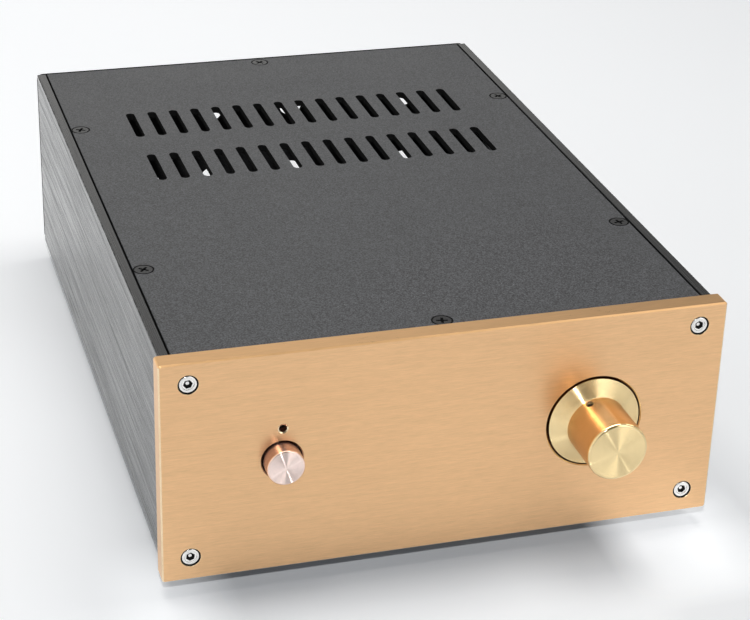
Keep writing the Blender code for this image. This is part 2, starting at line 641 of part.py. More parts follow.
def build_knob(finish, screw_finish):
    """The turned volume knob and its grub screw. The knob's own +Z points forwards."""
    axis = (KNOB_X, PANEL_FRONT, PANEL_BOTTOM + KNOB_HEIGHT)
    bore = POT_SHAFT_RADIUS + GAP
    bore_end = POT_SHAFT_END + 2 * GAP
    cavity_top = POT_BUSH_END + 2 * GAP
    edge = KNOB_EDGE_RADIUS
    rounding = arc(edge, 0, math.pi / 2, 3, (KNOB_RADIUS - edge, KNOB_PROTRUSION - edge))
    profile = [(0, bore_end), (bore, bore_end), (bore, cavity_top), (KNOB_CAVITY_RADIUS, cavity_top),
               (KNOB_CAVITY_RADIUS, -SKIRT_DEPTH), (SKIRT_RADIUS, -SKIRT_DEPTH),
               (SKIRT_RADIUS, -SKIRT_EDGE), (SKIRT_RADIUS - SKIRT_EDGE, 0), (KNOB_RADIUS, SKIRT_RISE)]
    body = turned(bmesh.new(), profile + rounding + [(0, KNOB_PROTRUSION)], ROUND_KNOB)
    grub_hole = at(0, 0, GRUB_HEIGHT) @ Matrix.Rotation(GRUB_ANGLE, 4, "Z")
    grub_hole = grub_hole @ Matrix.Rotation(math.pi / 2, 4, "Y")
    cutter = rod(bmesh.new(), GRUB_SCREW.shank + GAP, bore - OVERCUT, KNOB_RADIUS + OVERCUT, ROUND_SMALL,
                 grub_hole)
    place("volume_knob", combine(body, cutter), finish, axis, FACING_FRONT)

    reach = KNOB_RADIUS - GRUB_RECESS
    socket = prism(bmesh.new(), polygon(HEXAGON, GRUB_SOCKET_RADIUS), -GRUB_SOCKET_DEPTH, OVERCUT)
    screw = combine(rod(bmesh.new(), GRUB_SCREW.shank, -GRUB_SCREW.length, 0, ROUND_HOLE), socket)
    across = (math.cos(GRUB_ANGLE), math.sin(GRUB_ANGLE))
    location = (axis[0] + reach * across[0], PANEL_FRONT - GRUB_HEIGHT, axis[2] + reach * across[1])
    place("knob_grub_screw", screw, screw_finish, location, (0, math.pi / 2 - GRUB_ANGLE, 0))


def build_potentiometer(body_finish, shaft_finish):
    """The potentiometer behind the panel, its shaft, and the washer and nut in the pocket."""
    axis = (KNOB_X, PANEL_FRONT, PANEL_BOTTOM + KNOB_HEIGHT)
    back = -PANEL_THICKNESS - GAP
    bore = POT_SHAFT_RADIUS + GAP
    end = back - POT_BODY_DEPTH
    profile = [(0, end), (POT_BODY_RADIUS, end), (POT_BODY_RADIUS, back), (POT_BUSH_RADIUS, back),
               (POT_BUSH_RADIUS, POT_BUSH_END), (bore, POT_BUSH_END), (bore, POT_SHAFT_START - GAP),
               (0, POT_SHAFT_START - GAP)]
    body = mesh_from(turned(bmesh.new(), profile, ROUND_BODY))

    # The wafer that hangs below the can, with its three soldering lugs
    width, length, thickness = LUG_SIZE
    wafer_front = back - WAFER_OFFSET
    wafer_back = wafer_front - WAFER_THICKNESS
    wafer = rectangle(*WAFER_SIZE, (0, -WAFER_DROP))
    body = combine(body, prism(bmesh.new(), wafer, wafer_back, wafer_front), "UNION")
    lug_back = (wafer_front + wafer_back - thickness) / 2
    for column in (-1, 0, 1):
        lug = rectangle(width, length, (column * LUG_PITCH, -LUG_DROP))
        body = combine(body, prism(bmesh.new(), lug, lug_back, lug_back + thickness), "UNION")
    place("potentiometer", body, body_finish, axis, FACING_FRONT)

    shaft = rod(bmesh.new(), POT_SHAFT_RADIUS, POT_SHAFT_START, POT_SHAFT_END, ROUND_MEDIUM)
    flat = rectangle(POT_SHAFT_RADIUS, 3 * POT_SHAFT_RADIUS, (POT_SHAFT_FLAT + POT_SHAFT_RADIUS / 2, 0))
    facing_screw = Matrix.Rotation(GRUB_ANGLE, 4, "Z")
    cutter = prism(bmesh.new(), flat, POT_BUSH_END + GAP, POT_SHAFT_END + OVERCUT, facing_screw)
    place("potentiometer_shaft", combine(shaft, cutter), shaft_finish, axis, FACING_FRONT)

    inner = POT_BUSH_RADIUS + GAP
    low = GAP - POCKET_DEPTH
    high = low + POT_WASHER_THICKNESS
    washer = [(inner, low), (POT_WASHER_RADIUS, low), (POT_WASHER_RADIUS, high), (inner, high)]
    place("potentiometer_washer", turned(bmesh.new(), washer, ROUND_MEDIUM, ring=True), shaft_finish, axis,
          FACING_FRONT)
    low = high + GAP
    high = low + POT_NUT_HEIGHT
    nut = prism(bmesh.new(), polygon(HEXAGON, POT_NUT_RADIUS), low, high)
    hole = rod(bmesh.new(), inner, low - OVERCUT, high + OVERCUT, ROUND_MEDIUM)
    place("potentiometer_nut", combine(nut, hole), shaft_finish, axis, FACING_FRONT)


def switch_screw_places():
    """The x of the two screws that hold the switch's bracket to the panel."""
    return (BUTTON_X - SWITCH_SCREW_X, BUTTON_X + SWITCH_SCREW_X)


def build_button(finish, plunger_finish):
    """The power button's turned cap and the switch plunger that it is pressed on."""
    axis = (BUTTON_X, PANEL_FRONT, PANEL_BOTTOM + BUTTON_HEIGHT)
    flange_face = -PANEL_THICKNESS - GAP
    flange_back = flange_face - BUTTON_FLANGE_DEPTH
    bore = PLUNGER_RADIUS + GAP
    edge = BUTTON_EDGE_RADIUS
    rounding = arc(edge, 0, math.pi / 2, 2, (BUTTON_RADIUS - edge, BUTTON_PROTRUSION - edge))
    profile = [(0, PLUNGER_END + GAP), (bore, PLUNGER_END + GAP), (bore, flange_back),
               (BUTTON_FLANGE_RADIUS, flange_back), (BUTTON_FLANGE_RADIUS, flange_face),
               (BUTTON_RADIUS, flange_face)]
    body = turned(bmesh.new(), profile + rounding + [(0, BUTTON_PROTRUSION)], ROUND_BUTTON)
    place("power_button", body, finish, axis, FACING_FRONT)
    plunger = rod(bmesh.new(), PLUNGER_RADIUS, PLUNGER_START, PLUNGER_END, ROUND_SMALL)
    place("switch_plunger", plunger, plunger_finish, axis, FACING_FRONT)


def build_switch(switch_finish, bracket_finish, screw_finish):
    """The latching switch, and the folded bracket that carries it behind the panel."""
    axis = (BUTTON_X, PANEL_FRONT, PANEL_BOTTOM + BUTTON_HEIGHT)
    foot_face = -PANEL_THICKNESS - GAP
    web_back = SWITCH_WEB - SWITCH_SHEET
    front = web_back - GAP
    rear = front - SWITCH_DEPTH
    outline = rectangle(SWITCH_SIDE, SWITCH_SIDE, radius=EDGE_BREAK, steps=1)
    body = mesh_from(prism(bmesh.new(), outline, rear, front))
    boss = rod(bmesh.new(), SWITCH_BOSS_RADIUS, front - OVERCUT, SWITCH_WEB, ROUND_MEDIUM)
    body = combine(body, boss, "UNION")
    bore_end = PLUNGER_START - BUTTON_TRAVEL - 2 * GAP
    bore = rod(bmesh.new(), PLUNGER_RADIUS + GAP, bore_end, SWITCH_WEB + OVERCUT, ROUND_SMALL)
    body = combine(body, bore)
    width, thickness, length = SWITCH_PIN
    for column in SWITCH_PIN_COLUMNS:
        for row in SWITCH_PIN_ROWS:
            pin = rectangle(width, thickness, (column, row))
            body = combine(body, prism(bmesh.new(), pin, rear - length, rear + thickness), "UNION")
    place("power_switch", body, switch_finish, axis, FACING_FRONT)
    place("switch_bracket", switch_bracket(foot_face), bracket_finish, axis, FACING_FRONT)
    seat = PANEL_FRONT + PANEL_THICKNESS + 2 * GAP + SWITCH_SHEET
    for index, x in enumerate(switch_screw_places(), 1):
        place(f"switch_bracket_screw_{index}", SWITCH_SCREW.cylinder_head(), screw_finish,
              (x, seat, axis[2]), FACING_REAR)


def switch_bracket(foot_face):
    """The switch's bracket, a strip bent into a hat that stands on the panel's back."""
    sheet = SWITCH_SHEET
    bend = SWITCH_BEND
    web_back = SWITCH_WEB - sheet
    foot_back = foot_face - sheet

    # One half of the section, as (x, distance before the panel's face), outer side first
    outer = [(SWITCH_TOE, foot_face), (SWITCH_TOE, foot_back), (SWITCH_LEG + sheet + bend, foot_back),
             (SWITCH_LEG + sheet, foot_back - bend)]
    outer += arc(sheet + bend, 0, -math.pi / 2, 2, (SWITCH_LEG - bend, SWITCH_WEB + bend))
    inner = arc(bend, -math.pi / 2, 0, 2, (SWITCH_LEG - bend, SWITCH_WEB + bend))
    inner += [(SWITCH_LEG, foot_face - bend), (SWITCH_LEG + bend, foot_face)]
    outline = outer + [(-x, depth) for x, depth in reversed(outer)]
    outline += [(-x, depth) for x, depth in reversed(inner)] + inner
    upright = Matrix(((1, 0, 0, 0), (0, 0, 1, 0), (0, 1, 0, 0), (0, 0, 0, 1)))
    body = prism(bmesh.new(), outline, -SWITCH_HALF_HEIGHT, SWITCH_HALF_HEIGHT, upright)
    cutter = rod(bmesh.new(), SWITCH_BOSS_RADIUS + GAP, web_back - OVERCUT, SWITCH_WEB + OVERCUT,
                 ROUND_MEDIUM)
    for side in (-1, 1):
        SWITCH_SCREW.hole(cutter, at(side * SWITCH_SCREW_X, 0, foot_face), sheet + OVERCUT)
    return combine(body, cutter)


def build_lamp(lens_finish, holder_finish):
    """The indicator lamp behind its sight hole, in a plastic holder pushed into the panel's back."""
    axis = (LED_X, PANEL_FRONT, PANEL_BOTTOM + LED_HEIGHT)
    tip = -LED_WALL - GAP
    back = LED_BASE - LED_FLANGE_THICKNESS
    dome = arc(LED_RADIUS, 0, math.pi / 2, 4, (0, tip - LED_RADIUS))
    profile = [(0, back), (LED_FLANGE_RADIUS, back), (LED_FLANGE_RADIUS, LED_BASE), (LED_RADIUS, LED_BASE)]
    lens = mesh_from(turned(bmesh.new(), profile + dome[:-1] + [(0, tip)], ROUND_SMALL))
    for side in (-1, 1):
        leg = rectangle(LED_LEG_SIDE, LED_LEG_SIDE, (side * LED_LEG_SPACING / 2, 0))
        leg_body = prism(bmesh.new(), leg, LED_BASE - LED_LEG_LENGTH, LED_BASE - LED_LEG_SIDE)
        lens = combine(lens, leg_body, "UNION")
    place("led", lens, lens_finish, axis, FACING_FRONT)
    inner = LED_RADIUS + GAP
    holder = [(inner, LED_BASE + GAP), (LED_HOLDER_RADIUS, LED_BASE + GAP), (LED_HOLDER_RADIUS, tip),
              (inner, tip)]
    place("led_holder", turned(bmesh.new(), holder, ROUND_MEDIUM, ring=True), holder_finish, axis,
          FACING_FRONT)


def main():
    """Builds the whole chassis."""
    for item in list(bpy.data.objects):
        bpy.data.objects.remove(item)

    champagne = material("champagne_anodised", (0.70, 0.45, 0.24), 1.0, 0.34)
    black = material("black_anodised", (0.05, 0.05, 0.055), 0.9, 0.42)
    blasted = material("black_blasted", (0.045, 0.045, 0.047), 0.6, 0.6)
    gold = material("gold_turned", (0.80, 0.63, 0.33), 1.0, 0.25)
    rose = material("rose_turned", (0.82, 0.60, 0.52), 1.0, 0.22)
    nickel = material("nickel_plate", (0.75, 0.74, 0.71), 1.0, 0.22)
    black_steel = material("black_steel", (0.03, 0.03, 0.03), 0.8, 0.4)
    mill = material("mill_aluminium", (0.62, 0.63, 0.64), 1.0, 0.4)
    zinc = material("zinc_steel", (0.58, 0.58, 0.56), 1.0, 0.35)
    rubber = material("black_rubber", (0.015, 0.015, 0.015), 0.0, 0.85)
    plastic = material("black_plastic", (0.02, 0.02, 0.022), 0.0, 0.5)
    lens = material("clear_lens", (0.55, 0.50, 0.46), 0.0, 0.15)

    build_front_panel(champagne, nickel)
    build_side_panels(black)
    build_plate("top_cover", "cover_screw", 4, CASE_TOP, FACING_UP, blasted, black_steel)
    build_plate("bottom_plate", "bottom_screw", 3, CASE_BOTTOM, FACING_DOWN, blasted, black_steel,
                foot_points())
    build_rear_panel(blasted, black_steel)
    build_brackets(mill, zinc)
    build_feet(nickel, rubber, zinc)
    build_knob(gold, black_steel)
    build_potentiometer(zinc, nickel)
    build_button(rose, plastic)
    build_switch(plastic, zinc, zinc)
    build_lamp(lens, plastic)


main()
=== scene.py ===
"""The looks of a bare amplifier chassis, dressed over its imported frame.

Lengths are in metres, in the frame's axes: -Y is the front, +X the right and +Z up.
"""
import json
import logging
import math
from abc import ABC, abstractmethod
from collections.abc import Callable
from dataclasses import dataclass, replace
from enum import Enum
from typing import ClassVar

import bmesh
import bpy
from mathutils import Matrix, Vector

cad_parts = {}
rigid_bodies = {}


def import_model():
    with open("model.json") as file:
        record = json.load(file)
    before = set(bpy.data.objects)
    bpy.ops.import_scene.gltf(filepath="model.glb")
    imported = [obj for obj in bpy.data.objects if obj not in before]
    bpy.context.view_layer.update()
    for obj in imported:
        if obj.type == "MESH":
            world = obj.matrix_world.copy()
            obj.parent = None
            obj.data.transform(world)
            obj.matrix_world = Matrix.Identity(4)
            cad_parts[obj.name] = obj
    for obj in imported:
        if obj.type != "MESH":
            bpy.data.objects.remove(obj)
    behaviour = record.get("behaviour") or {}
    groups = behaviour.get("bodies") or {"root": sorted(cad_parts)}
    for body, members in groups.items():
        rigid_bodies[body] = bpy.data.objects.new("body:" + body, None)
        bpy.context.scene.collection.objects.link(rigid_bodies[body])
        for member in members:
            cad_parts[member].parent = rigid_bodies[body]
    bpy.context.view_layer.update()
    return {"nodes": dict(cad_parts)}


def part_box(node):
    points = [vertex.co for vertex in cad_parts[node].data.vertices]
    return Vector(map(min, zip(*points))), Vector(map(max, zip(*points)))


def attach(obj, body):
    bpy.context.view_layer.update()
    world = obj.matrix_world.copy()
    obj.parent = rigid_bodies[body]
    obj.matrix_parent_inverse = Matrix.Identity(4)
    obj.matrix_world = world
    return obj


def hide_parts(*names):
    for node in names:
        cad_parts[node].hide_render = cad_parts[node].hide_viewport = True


for leftover in list(bpy.data.objects):
    bpy.data.objects.remove(leftover)
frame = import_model()

LOG = logging.getLogger("chassis")
MM = 0.001
ABOVE = 1.0 * MM  # how far a cutter stands out of the metal
QUARTER = math.pi / 2
SHARP_ANGLE = math.radians(32)
SQUARE_ON = 0.9999  # a normal's largest part where its face is square to an axis
LARGE_FACE = 60.0 * MM * MM  # shaded flat where it is square, so that no smooth normal bends over it
FLAT_ON = 0.985  # the least part of a normal along an axis where a face looks along it
WALL = 0.3  # the most of it where a face is a wall round that axis
ACROSS_GRAIN = 0.25  # the anisotropic turn that spreads a highlight across the marks
MIDDLE_NOISE = (0.3, 0.7)  # where nearly all of a noise's values lie
GREY_DUST = (0.4, 0.4, 0.4)
PANEL_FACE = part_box("front_panel")[0].y
CASE_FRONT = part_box("front_panel")[1].y

Point = tuple[float, float]
Place = tuple[float, float, float]
Colour = tuple[float, float, float]
Node = bpy.types.Node
Socket = bpy.types.NodeSocket
Material = bpy.types.Material
Mesh = bpy.types.Mesh
Polygon = bpy.types.MeshPolygon
Shape = bmesh.types.BMesh
Value = Socket | float | tuple[float, ...]
ZoneRule = Callable[[Polygon], int]


class Facing(Enum):
    """The sides of the chassis, each with the turn that brings a piece's own +Z there."""

    UP = ((0.0, 0.0, 0.0), 2, 1)
    DOWN = ((0.0, math.pi, 0.0), 2, -1)
    FRONT = ((QUARTER, 0.0, 0.0), 1, -1)
    REAR = ((QUARTER, 0.0, math.pi), 1, 1)

    def __init__(self, turn: Place, axis: int, outward: int) -> None:
        """Names the turn, the axis that the side faces along and its sign."""
        self.turn, self.axis, self.outward = turn, axis, outward

    def side_of(self, node: str) -> Vector:
        """The middle of one side of a frame node's box.

        Args:
            node: The node's name.

        Returns:
            The middle of the side that faces this way.
        """
        low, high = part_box(node)
        middle = (low + high) / 2
        middle[self.axis] = (high if self.outward > 0 else low)[self.axis]
        return middle


class Grain(Enum):
    """The axis that a brushed finish runs along."""

    ALONG_X = 0
    ALONG_Y = 1


class Recess(Enum):
    """The drive cut into a screw's head, with its reach as a share of the head's radius."""

    CROSS = 0.68
    HEXAGON = 0.53


class Graph:
    """A node tree with short ways to add nodes and join them."""

    def __init__(self, tree: bpy.types.NodeTree) -> None:
        """Wraps the node tree of a material, a world or a group."""
        self.tree = tree

    def add(self, kind: str, inputs: dict[str | int, Value] | None = None, **settings: object) -> Node:
        """Adds a node and feeds it.

        Args:
            kind: The node's class name without its ShaderNode prefix.
            inputs: What goes into its sockets, by name or place.
            **settings: The node's own properties.

        Returns:
            The new node.
        """
        node = self.tree.nodes.new("ShaderNode" + kind)
        for name, setting in settings.items():
            setattr(node, name, setting)
        for name, value in (inputs or {}).items():
            self.feed(node.inputs[name], value)
        return node

    def feed(self, socket: Socket, value: Value) -> None:
        """Links a socket into another, or sets a plain value on it.

        Args:
            socket: The input socket.
            value: An output socket, a number or a tuple.
        """
        if isinstance(value, Socket):
            self.tree.links.new(value, socket)
        else:
            socket.default_value = value

    def math(self, operation: str, *values: Value) -> Socket:
        """Adds a Math node.

        Args:
            operation: The node's operation.
            *values: Its operands.

        Returns:
            The result.
        """
        return self.add("Math", dict(enumerate(values)), operation=operation).outputs[0]

    def times(self, first: Value, second: Value) -> Socket:
        """Multiplies two numbers."""
        return self.math("MULTIPLY", first, second)

    def times_plus(self, first: Value, second: Value, more: Value) -> Socket:
        """Multiplies two numbers and adds a third."""
        return self.math("MULTIPLY_ADD", first, second, more)

    def vector(self, operation: str, *values: Value, output: int = 0) -> Socket:
        """Adds a Vector Math node.

        Args:
            operation: The node's operation.
            *values: Its operands.
            output: 0 for a vector result and 1 for a number.

        Returns:
            The result.
        """
        return self.add("VectorMath", dict(enumerate(values)), operation=operation).outputs[output]

    def join(self, *parts: Value) -> Socket:
        """Makes a vector of its parts."""
        return self.add("CombineXYZ", dict(enumerate(parts))).outputs[0]

    def split(self, vector: Value) -> tuple[Socket, ...]:
        """Takes a vector apart."""
        return tuple(self.add("SeparateXYZ", {0: vector}).outputs)

    def noise(self, vector: Value, scale: float, detail: float, rough: float) -> Socket:
        """Adds a Noise Texture.

        Args:
            vector: Where it is read.
            scale: Its scale.
            detail: How many octaves it has.
            rough: How strong the finer octaves are.

        Returns:
            The noise's value, round 0.5.
        """
        inputs = {"Vector": vector, "Scale": scale, "Detail": detail, "Roughness": rough}
        return self.add("TexNoise", inputs).outputs[0]

    def remap(self, value: Value, low: float, high: float, to_low: float = 0.0,
              to_high: float = 1.0) -> Socket:
        """Maps one range onto another and holds the result inside it.

        Args:
            value: The number to map.
            low: The start of its range.
            high: The end of its range.
            to_low: What the start becomes.
            to_high: What the end becomes.

        Returns:
            The mapped value.
        """
        return self.add("MapRange", {0: value, 1: low, 2: high, 3: to_low, 4: to_high}).outputs[0]

    def window(self, value: Value, rise: Point, fall: Point) -> Socket:
        """A number that is 1 over a stretch of another and fades to 0 at both its ends.

        Args:
            value: The other number.
            rise: Where the first end is 0 and where it is 1.
            fall: Where the second end is 0 and where it is 1.

        Returns:
            The number.
        """
        return self.times(self.remap(value, *rise), self.remap(value, *fall))

    def mix(self, factor: Value, first: Value, second: Value, blend: str = "MIX") -> Socket:
        """Mixes two colours.

        Args:
            factor: How much of the second there is.
            first: The first colour.
            second: The second colour.
            blend: The blending mode.

        Returns:
            The mixed colour.
        """
        inputs = {0: factor, 6: first, 7: second}
        return self.add("Mix", inputs, data_type="RGBA", blend_type=blend).outputs[2]

    def toned(self, colour: Colour, tone: Value) -> Socket:
        """Makes a colour lighter or darker by a factor."""
        grey = self.add("CombineColor", {0: tone, 1: tone, 2: tone}).outputs[0]
        return self.mix(1.0, rgba(colour), grey, "MULTIPLY")

    def upward(self) -> Socket:
        """How far the surface looks up, from -1 to 1."""
        return self.split(self.add("NewGeometry").outputs["Normal"])[2]

    def rays(self) -> tuple[Socket, Socket, Socket]:
        """Tells apart the rays that meet the floor or the sky.

        Returns:
            1 for a ray from the camera or through a lens, 1 for one that bare metal mirrors, and 1
            for any glossy one.
        """
        path = self.add("LightPath").outputs
        bounced = self.math("MINIMUM", path["Diffuse Depth"], 1.0)
        mirrored = self.times(path["Is Glossy Ray"], self.math("SUBTRACT", 1.0, bounced))
        seen = self.math("MAXIMUM", path["Is Camera Ray"], path["Is Transmission Ray"])
        return seen, mirrored, path["Is Glossy Ray"]


def rgba(colour: Colour) -> tuple[float, float, float, float]:
    """Adds a full alpha to a colour."""
    return (*colour, 1.0)


class SurfaceEffects:
    """The shader node groups that the finishes share."""

    def __init__(self) -> None:
        """Builds every group once."""
        self.brushed = self._brushed_lines()
        self.turned = self._turned_rings()
        self.grooves = self._grooves()
        self.blasted = self._blasted_grain()
        self.wear_and_shade = self._edge_wear_and_shade()
        self.handled = self._handling_marks()

    @staticmethod
    def _group(name: str, inputs: dict[str, float | Place], outputs: tuple[str, ...]) -> tuple[
            Graph, bpy.types.bpy_prop_collection, bpy.types.bpy_prop_collection]:
        """Starts a node group that reads a Vector.

        Args:
            name: The group's name.
            inputs: Its further inputs, with their defaults.
            outputs: Its output names, which are all numbers but a Normal.

        Returns:
            The group's graph, what it is given and the sockets of its results.
        """
        tree = bpy.data.node_groups.new(name, "ShaderNodeTree")
        for label, default in ({"Vector": (0.0, 0.0, 0.0)} | inputs).items():
            kind = "NodeSocketVector" if isinstance(default, tuple) else "NodeSocketFloat"
            tree.interface.new_socket(label, in_out="INPUT", socket_type=kind).default_value = default
        for label in outputs:
            kind = "NodeSocketVector" if label == "Normal" else "NodeSocketFloat"
            tree.interface.new_socket(label, in_out="OUTPUT", socket_type=kind)
        source = tree.nodes.new("NodeGroupInput")
        sink = tree.nodes.new("NodeGroupOutput")
        return Graph(tree), source.outputs, sink.inputs

    def _brushed_lines(self) -> bpy.types.NodeTree:
        """Long scratches that run along the vector's X.

        Returns:
            A group with a Height for bump and a slower Tone for colour.
        """
        graph, given, result = self._group(
            "brushed lines", {"Length": 30 * MM, "Width": 0.15 * MM}, ("Height", "Tone"))
        across = graph.math("DIVIDE", 1.0, given["Width"])
        scale = graph.join(graph.math("DIVIDE", 1.0, given["Length"]), across, across)
        fine = graph.vector("MULTIPLY", given["Vector"], scale)
        hair = graph.noise(fine, 1.0, 3.0, 0.7)
        band = graph.noise(graph.vector("MULTIPLY", fine, (0.4, 0.3, 0.3)), 1.0, 2.0, 0.6)
        graph.feed(result["Height"], graph.times_plus(band, 0.3, graph.times(hair, 0.7)))
        graph.feed(result["Tone"], graph.times_plus(hair, 0.65, graph.times(band, 0.35)))
        return graph.tree

    def _turned_rings(self) -> bpy.types.NodeTree:
        """Fine tool marks round the vector's Z axis, on faces and on round walls alike.

        Returns:
            A group with a Height for bump and a slower Tone for colour.
        """
        graph, given, result = self._group("turned rings", {"Pitch": 0.12 * MM}, ("Height", "Tone"))
        x, y, z = graph.split(given["Vector"])
        flat = graph.join(x, y)
        radius = graph.vector("LENGTH", flat, output=1)
        travel = graph.math("DIVIDE", graph.math("ADD", radius, z), given["Pitch"])
        bearing = graph.split(graph.vector("NORMALIZE", flat))
        place = graph.join(travel, bearing[0], bearing[1])
        slow = graph.vector("MULTIPLY", place, (0.18, 1.6, 1.6))
        graph.feed(result["Height"], graph.noise(place, 1.0, 3.0, 0.6))
        graph.feed(result["Tone"], graph.noise(slow, 1.0, 2.0, 0.5))
        return graph.tree

    def _grooves(self) -> bpy.types.NodeTree:
        """Grooves too fine to see, round the vector's Z axis, which spread a highlight into a ray.

        Returns:
            A group whose Normal leans across the grooves by a different slope in each of them.
        """
        graph, given, result = self._group("fine grooves", {"Pitch": 0.02 * MM, "Slope": 0.5}, ("Normal",))
        x, y, z = graph.split(given["Vector"])
        radius = graph.vector("LENGTH", graph.join(x, y), output=1)
        travel = graph.math("DIVIDE", graph.math("ADD", radius, z), given["Pitch"])
        groove = graph.add("TexWhiteNoise", {"W": travel}, noise_dimensions="1D").outputs["Value"]
        lean = graph.times(graph.times_plus(groove, 2.0, -1.0), given["Slope"])
        around = graph.add("VectorTransform", {0: graph.join(graph.times(y, -1.0), x)}, vector_type="VECTOR",
                           convert_from="OBJECT", convert_to="WORLD").outputs[0]
        normal = graph.add("NewGeometry").outputs["Normal"]
        across = graph.vector("CROSS_PRODUCT", normal, graph.vector("NORMALIZE", around))
        leaning = graph.vector("ADD", normal, graph.vector("MULTIPLY", across, graph.join(lean, lean, lean)))
        graph.feed(result["Normal"], graph.vector("NORMALIZE", leaning))
        return graph.tree

    def _blasted_grain(self) -> bpy.types.NodeTree:
        """The tiny pits of a bead-blasted surface.

        Returns:
            A group with a Height for bump and a Speckle for colour and gloss.
        """
        graph, given, result = self._group("blasted grain", {"Size": 0.25 * MM}, ("Height", "Speckle"))
        place = graph.vector("DIVIDE", given["Vector"], graph.join(*[given["Size"]] * 3))
        grain = graph.noise(place, 1.0, 2.0, 0.6)
        pits = graph.add("TexVoronoi", {"Vector": place, "Scale": 0.8}, feature="F1").outputs["Distance"]
        graph.feed(result["Height"], graph.times_plus(pits, 0.5, graph.times(grain, 0.6)))
        graph.feed(result["Speckle"], graph.remap(grain, 0.36, 0.66))
        return graph.tree

    def _edge_wear_and_shade(self) -> bpy.types.NodeTree:
        """A broken line along the edges of a box-shaped piece, for rubbed edges and for painted edge shade.

        Returns:
            A group whose Mask is 1 on the edges.
        """
        box = {"Centre": (0.0, 0.0, 0.0), "Half size": (0.1, 0.1, 0.1)}
        graph, given, result = self._group("edge wear", box | {"Width": 0.6 * MM}, ("Mask",))
        offset = graph.vector("ABSOLUTE", graph.vector("SUBTRACT", given["Vector"], given["Centre"]))
        x, y, z = graph.split(graph.vector("SUBTRACT", given["Half size"], offset))
        lower = graph.math("MINIMUM", x, y)
        upper = graph.math("MAXIMUM", x, y)
        second = graph.math("MAXIMUM", lower, graph.math("MINIMUM", upper, z))
        broken = graph.noise(given["Vector"], 420.0, 4.0, 0.7)
        reach = graph.times(given["Width"], graph.remap(broken, 0.38, 0.7, 0.25, 1.6))
        graph.feed(result["Mask"], graph.remap(graph.math("DIVIDE", second, reach), 0.35, 1.0, 1.0, 0.0))
        return graph.tree

    def _handling_marks(self) -> bpy.types.NodeTree:
        """What handling and standing about leave on a surface.

        Returns:
            A group with a cloudy Smudge and a Dust that lies on faces that look up.
        """
        graph, given, result = self._group("handling marks", {}, ("Smudge", "Dust"))
        graph.feed(result["Smudge"], graph.remap(graph.noise(given["Vector"], 22.0, 4.0, 0.6), 0.35, 0.7))
        motes = graph.add("TexVoronoi", {"Vector": given["Vector"], "Scale": 380.0}).outputs["Distance"]
        fleck = graph.remap(motes, 0.05, 0.09, 1.0, 0.0)
        rare = graph.remap(graph.noise(given["Vector"], 60.0, 2.0, 0.5), 0.52, 0.6)
        lying = graph.times(graph.remap(graph.upward(), 0.6, 0.95), graph.times(fleck, rare))
        graph.feed(result["Dust"], lying)
        return graph.tree


class Surface:
    """What a finish works on: a material, its graph, its Principled node and the point on the piece."""

    def __init__(self, effects: SurfaceEffects, name: str, node: str) -> None:
        """Starts a material.

        Args:
            effects: The shared node groups.
            name: The material's name.
            node: The frame's node that it is for.
        """
        self.material = bpy.data.materials.new(name)
        self.material.use_nodes = True
        self.graph = Graph(self.material.node_tree)
        self.shader = self.material.node_tree.nodes["Principled BSDF"]
        self.place = self.graph.add("TexCoord").outputs["Object"]
        self.effects = effects
        self.node = node
        self.marks = self.effect(effects.handled)

    def effect(self, tree: bpy.types.NodeTree, **inputs: Value) -> bpy.types.bpy_prop_collection:
        """Places a shared effect, which reads the point on the piece.

        Args:
            tree: The effect's group.
            **inputs: The values for its inputs, another Vector among them if need be.

        Returns:
            The effect's outputs.
        """
        return self.graph.add("Group", {"Vector": self.place} | inputs, node_tree=tree).outputs

    def rubbed_and_shaded_edges(self, width: float, strength: float) -> Socket:
        """A mask of the edges of the node's box, for rubbed edges and for painted dark edge lines of shade.

        Args:
            width: How wide the edge line is.
            strength: How much it shows.

        Returns:
            The mask.
        """
        low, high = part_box(self.node)
        box = {"Centre": tuple((low + high) / 2), "Half size": tuple((high - low) / 2), "Width": width}
        return self.graph.times(self.effect(self.effects.wear_and_shade, **box)["Mask"], strength)

    def dusted(self, base: Socket, share: float, colour: Colour = GREY_DUST) -> Socket:
        """Lays a little dust over a colour.

        Args:
            base: The colour.
            share: How much the dust covers.
            colour: The dust's colour.

        Returns:
            The dusted colour.
        """
        return self.graph.mix(self.graph.times(self.marks["Dust"], share), base, rgba(colour))

    def smudged(self, gloss: Value, change: float) -> Socket:
        """Changes a roughness where hands have been."""
        return self.graph.times_plus(self.marks["Smudge"], change, gloss)

    def finish(self, base: Socket, gloss: Socket, height: Socket, depth: float, normal: Socket | None = None,
               **constants: float) -> Material:
        """Joins everything up.

        Args:
            base: The colour.
            gloss: The roughness.
            height: The bump's height, from 0 to 1.
            depth: What a height of 1 stands for.
            normal: A normal that the bump starts from.
            **constants: The shader's other values, with _ for a space in their names.

        Returns:
            The finished material.
        """
        bump = self.graph.add("Bump", {"Strength": 1.0, "Distance": depth, "Height": height})
        if normal is not None:
            self.graph.feed(bump.inputs["Normal"], normal)
        for name, value in (("Base Color", base), ("Roughness", gloss), ("Normal", bump.outputs[0])):
            self.graph.feed(self.shader.inputs[name], value)
        for name, value in constants.items():
            self.shader.inputs[name.replace("_", " ")].default_value = value
        return self.material


@dataclass(frozen=True)
class Finish(ABC):
    """What every finish has: a name, a base colour, a gloss and a bump."""

    name: str
    colour: Colour
    metallic: float
    roughness: float
    bump: float
    follows_edges: ClassVar[bool] = False

    @abstractmethod
    def cover(self, on: Surface) -> Material:
        """Builds the finish's material on a surface."""


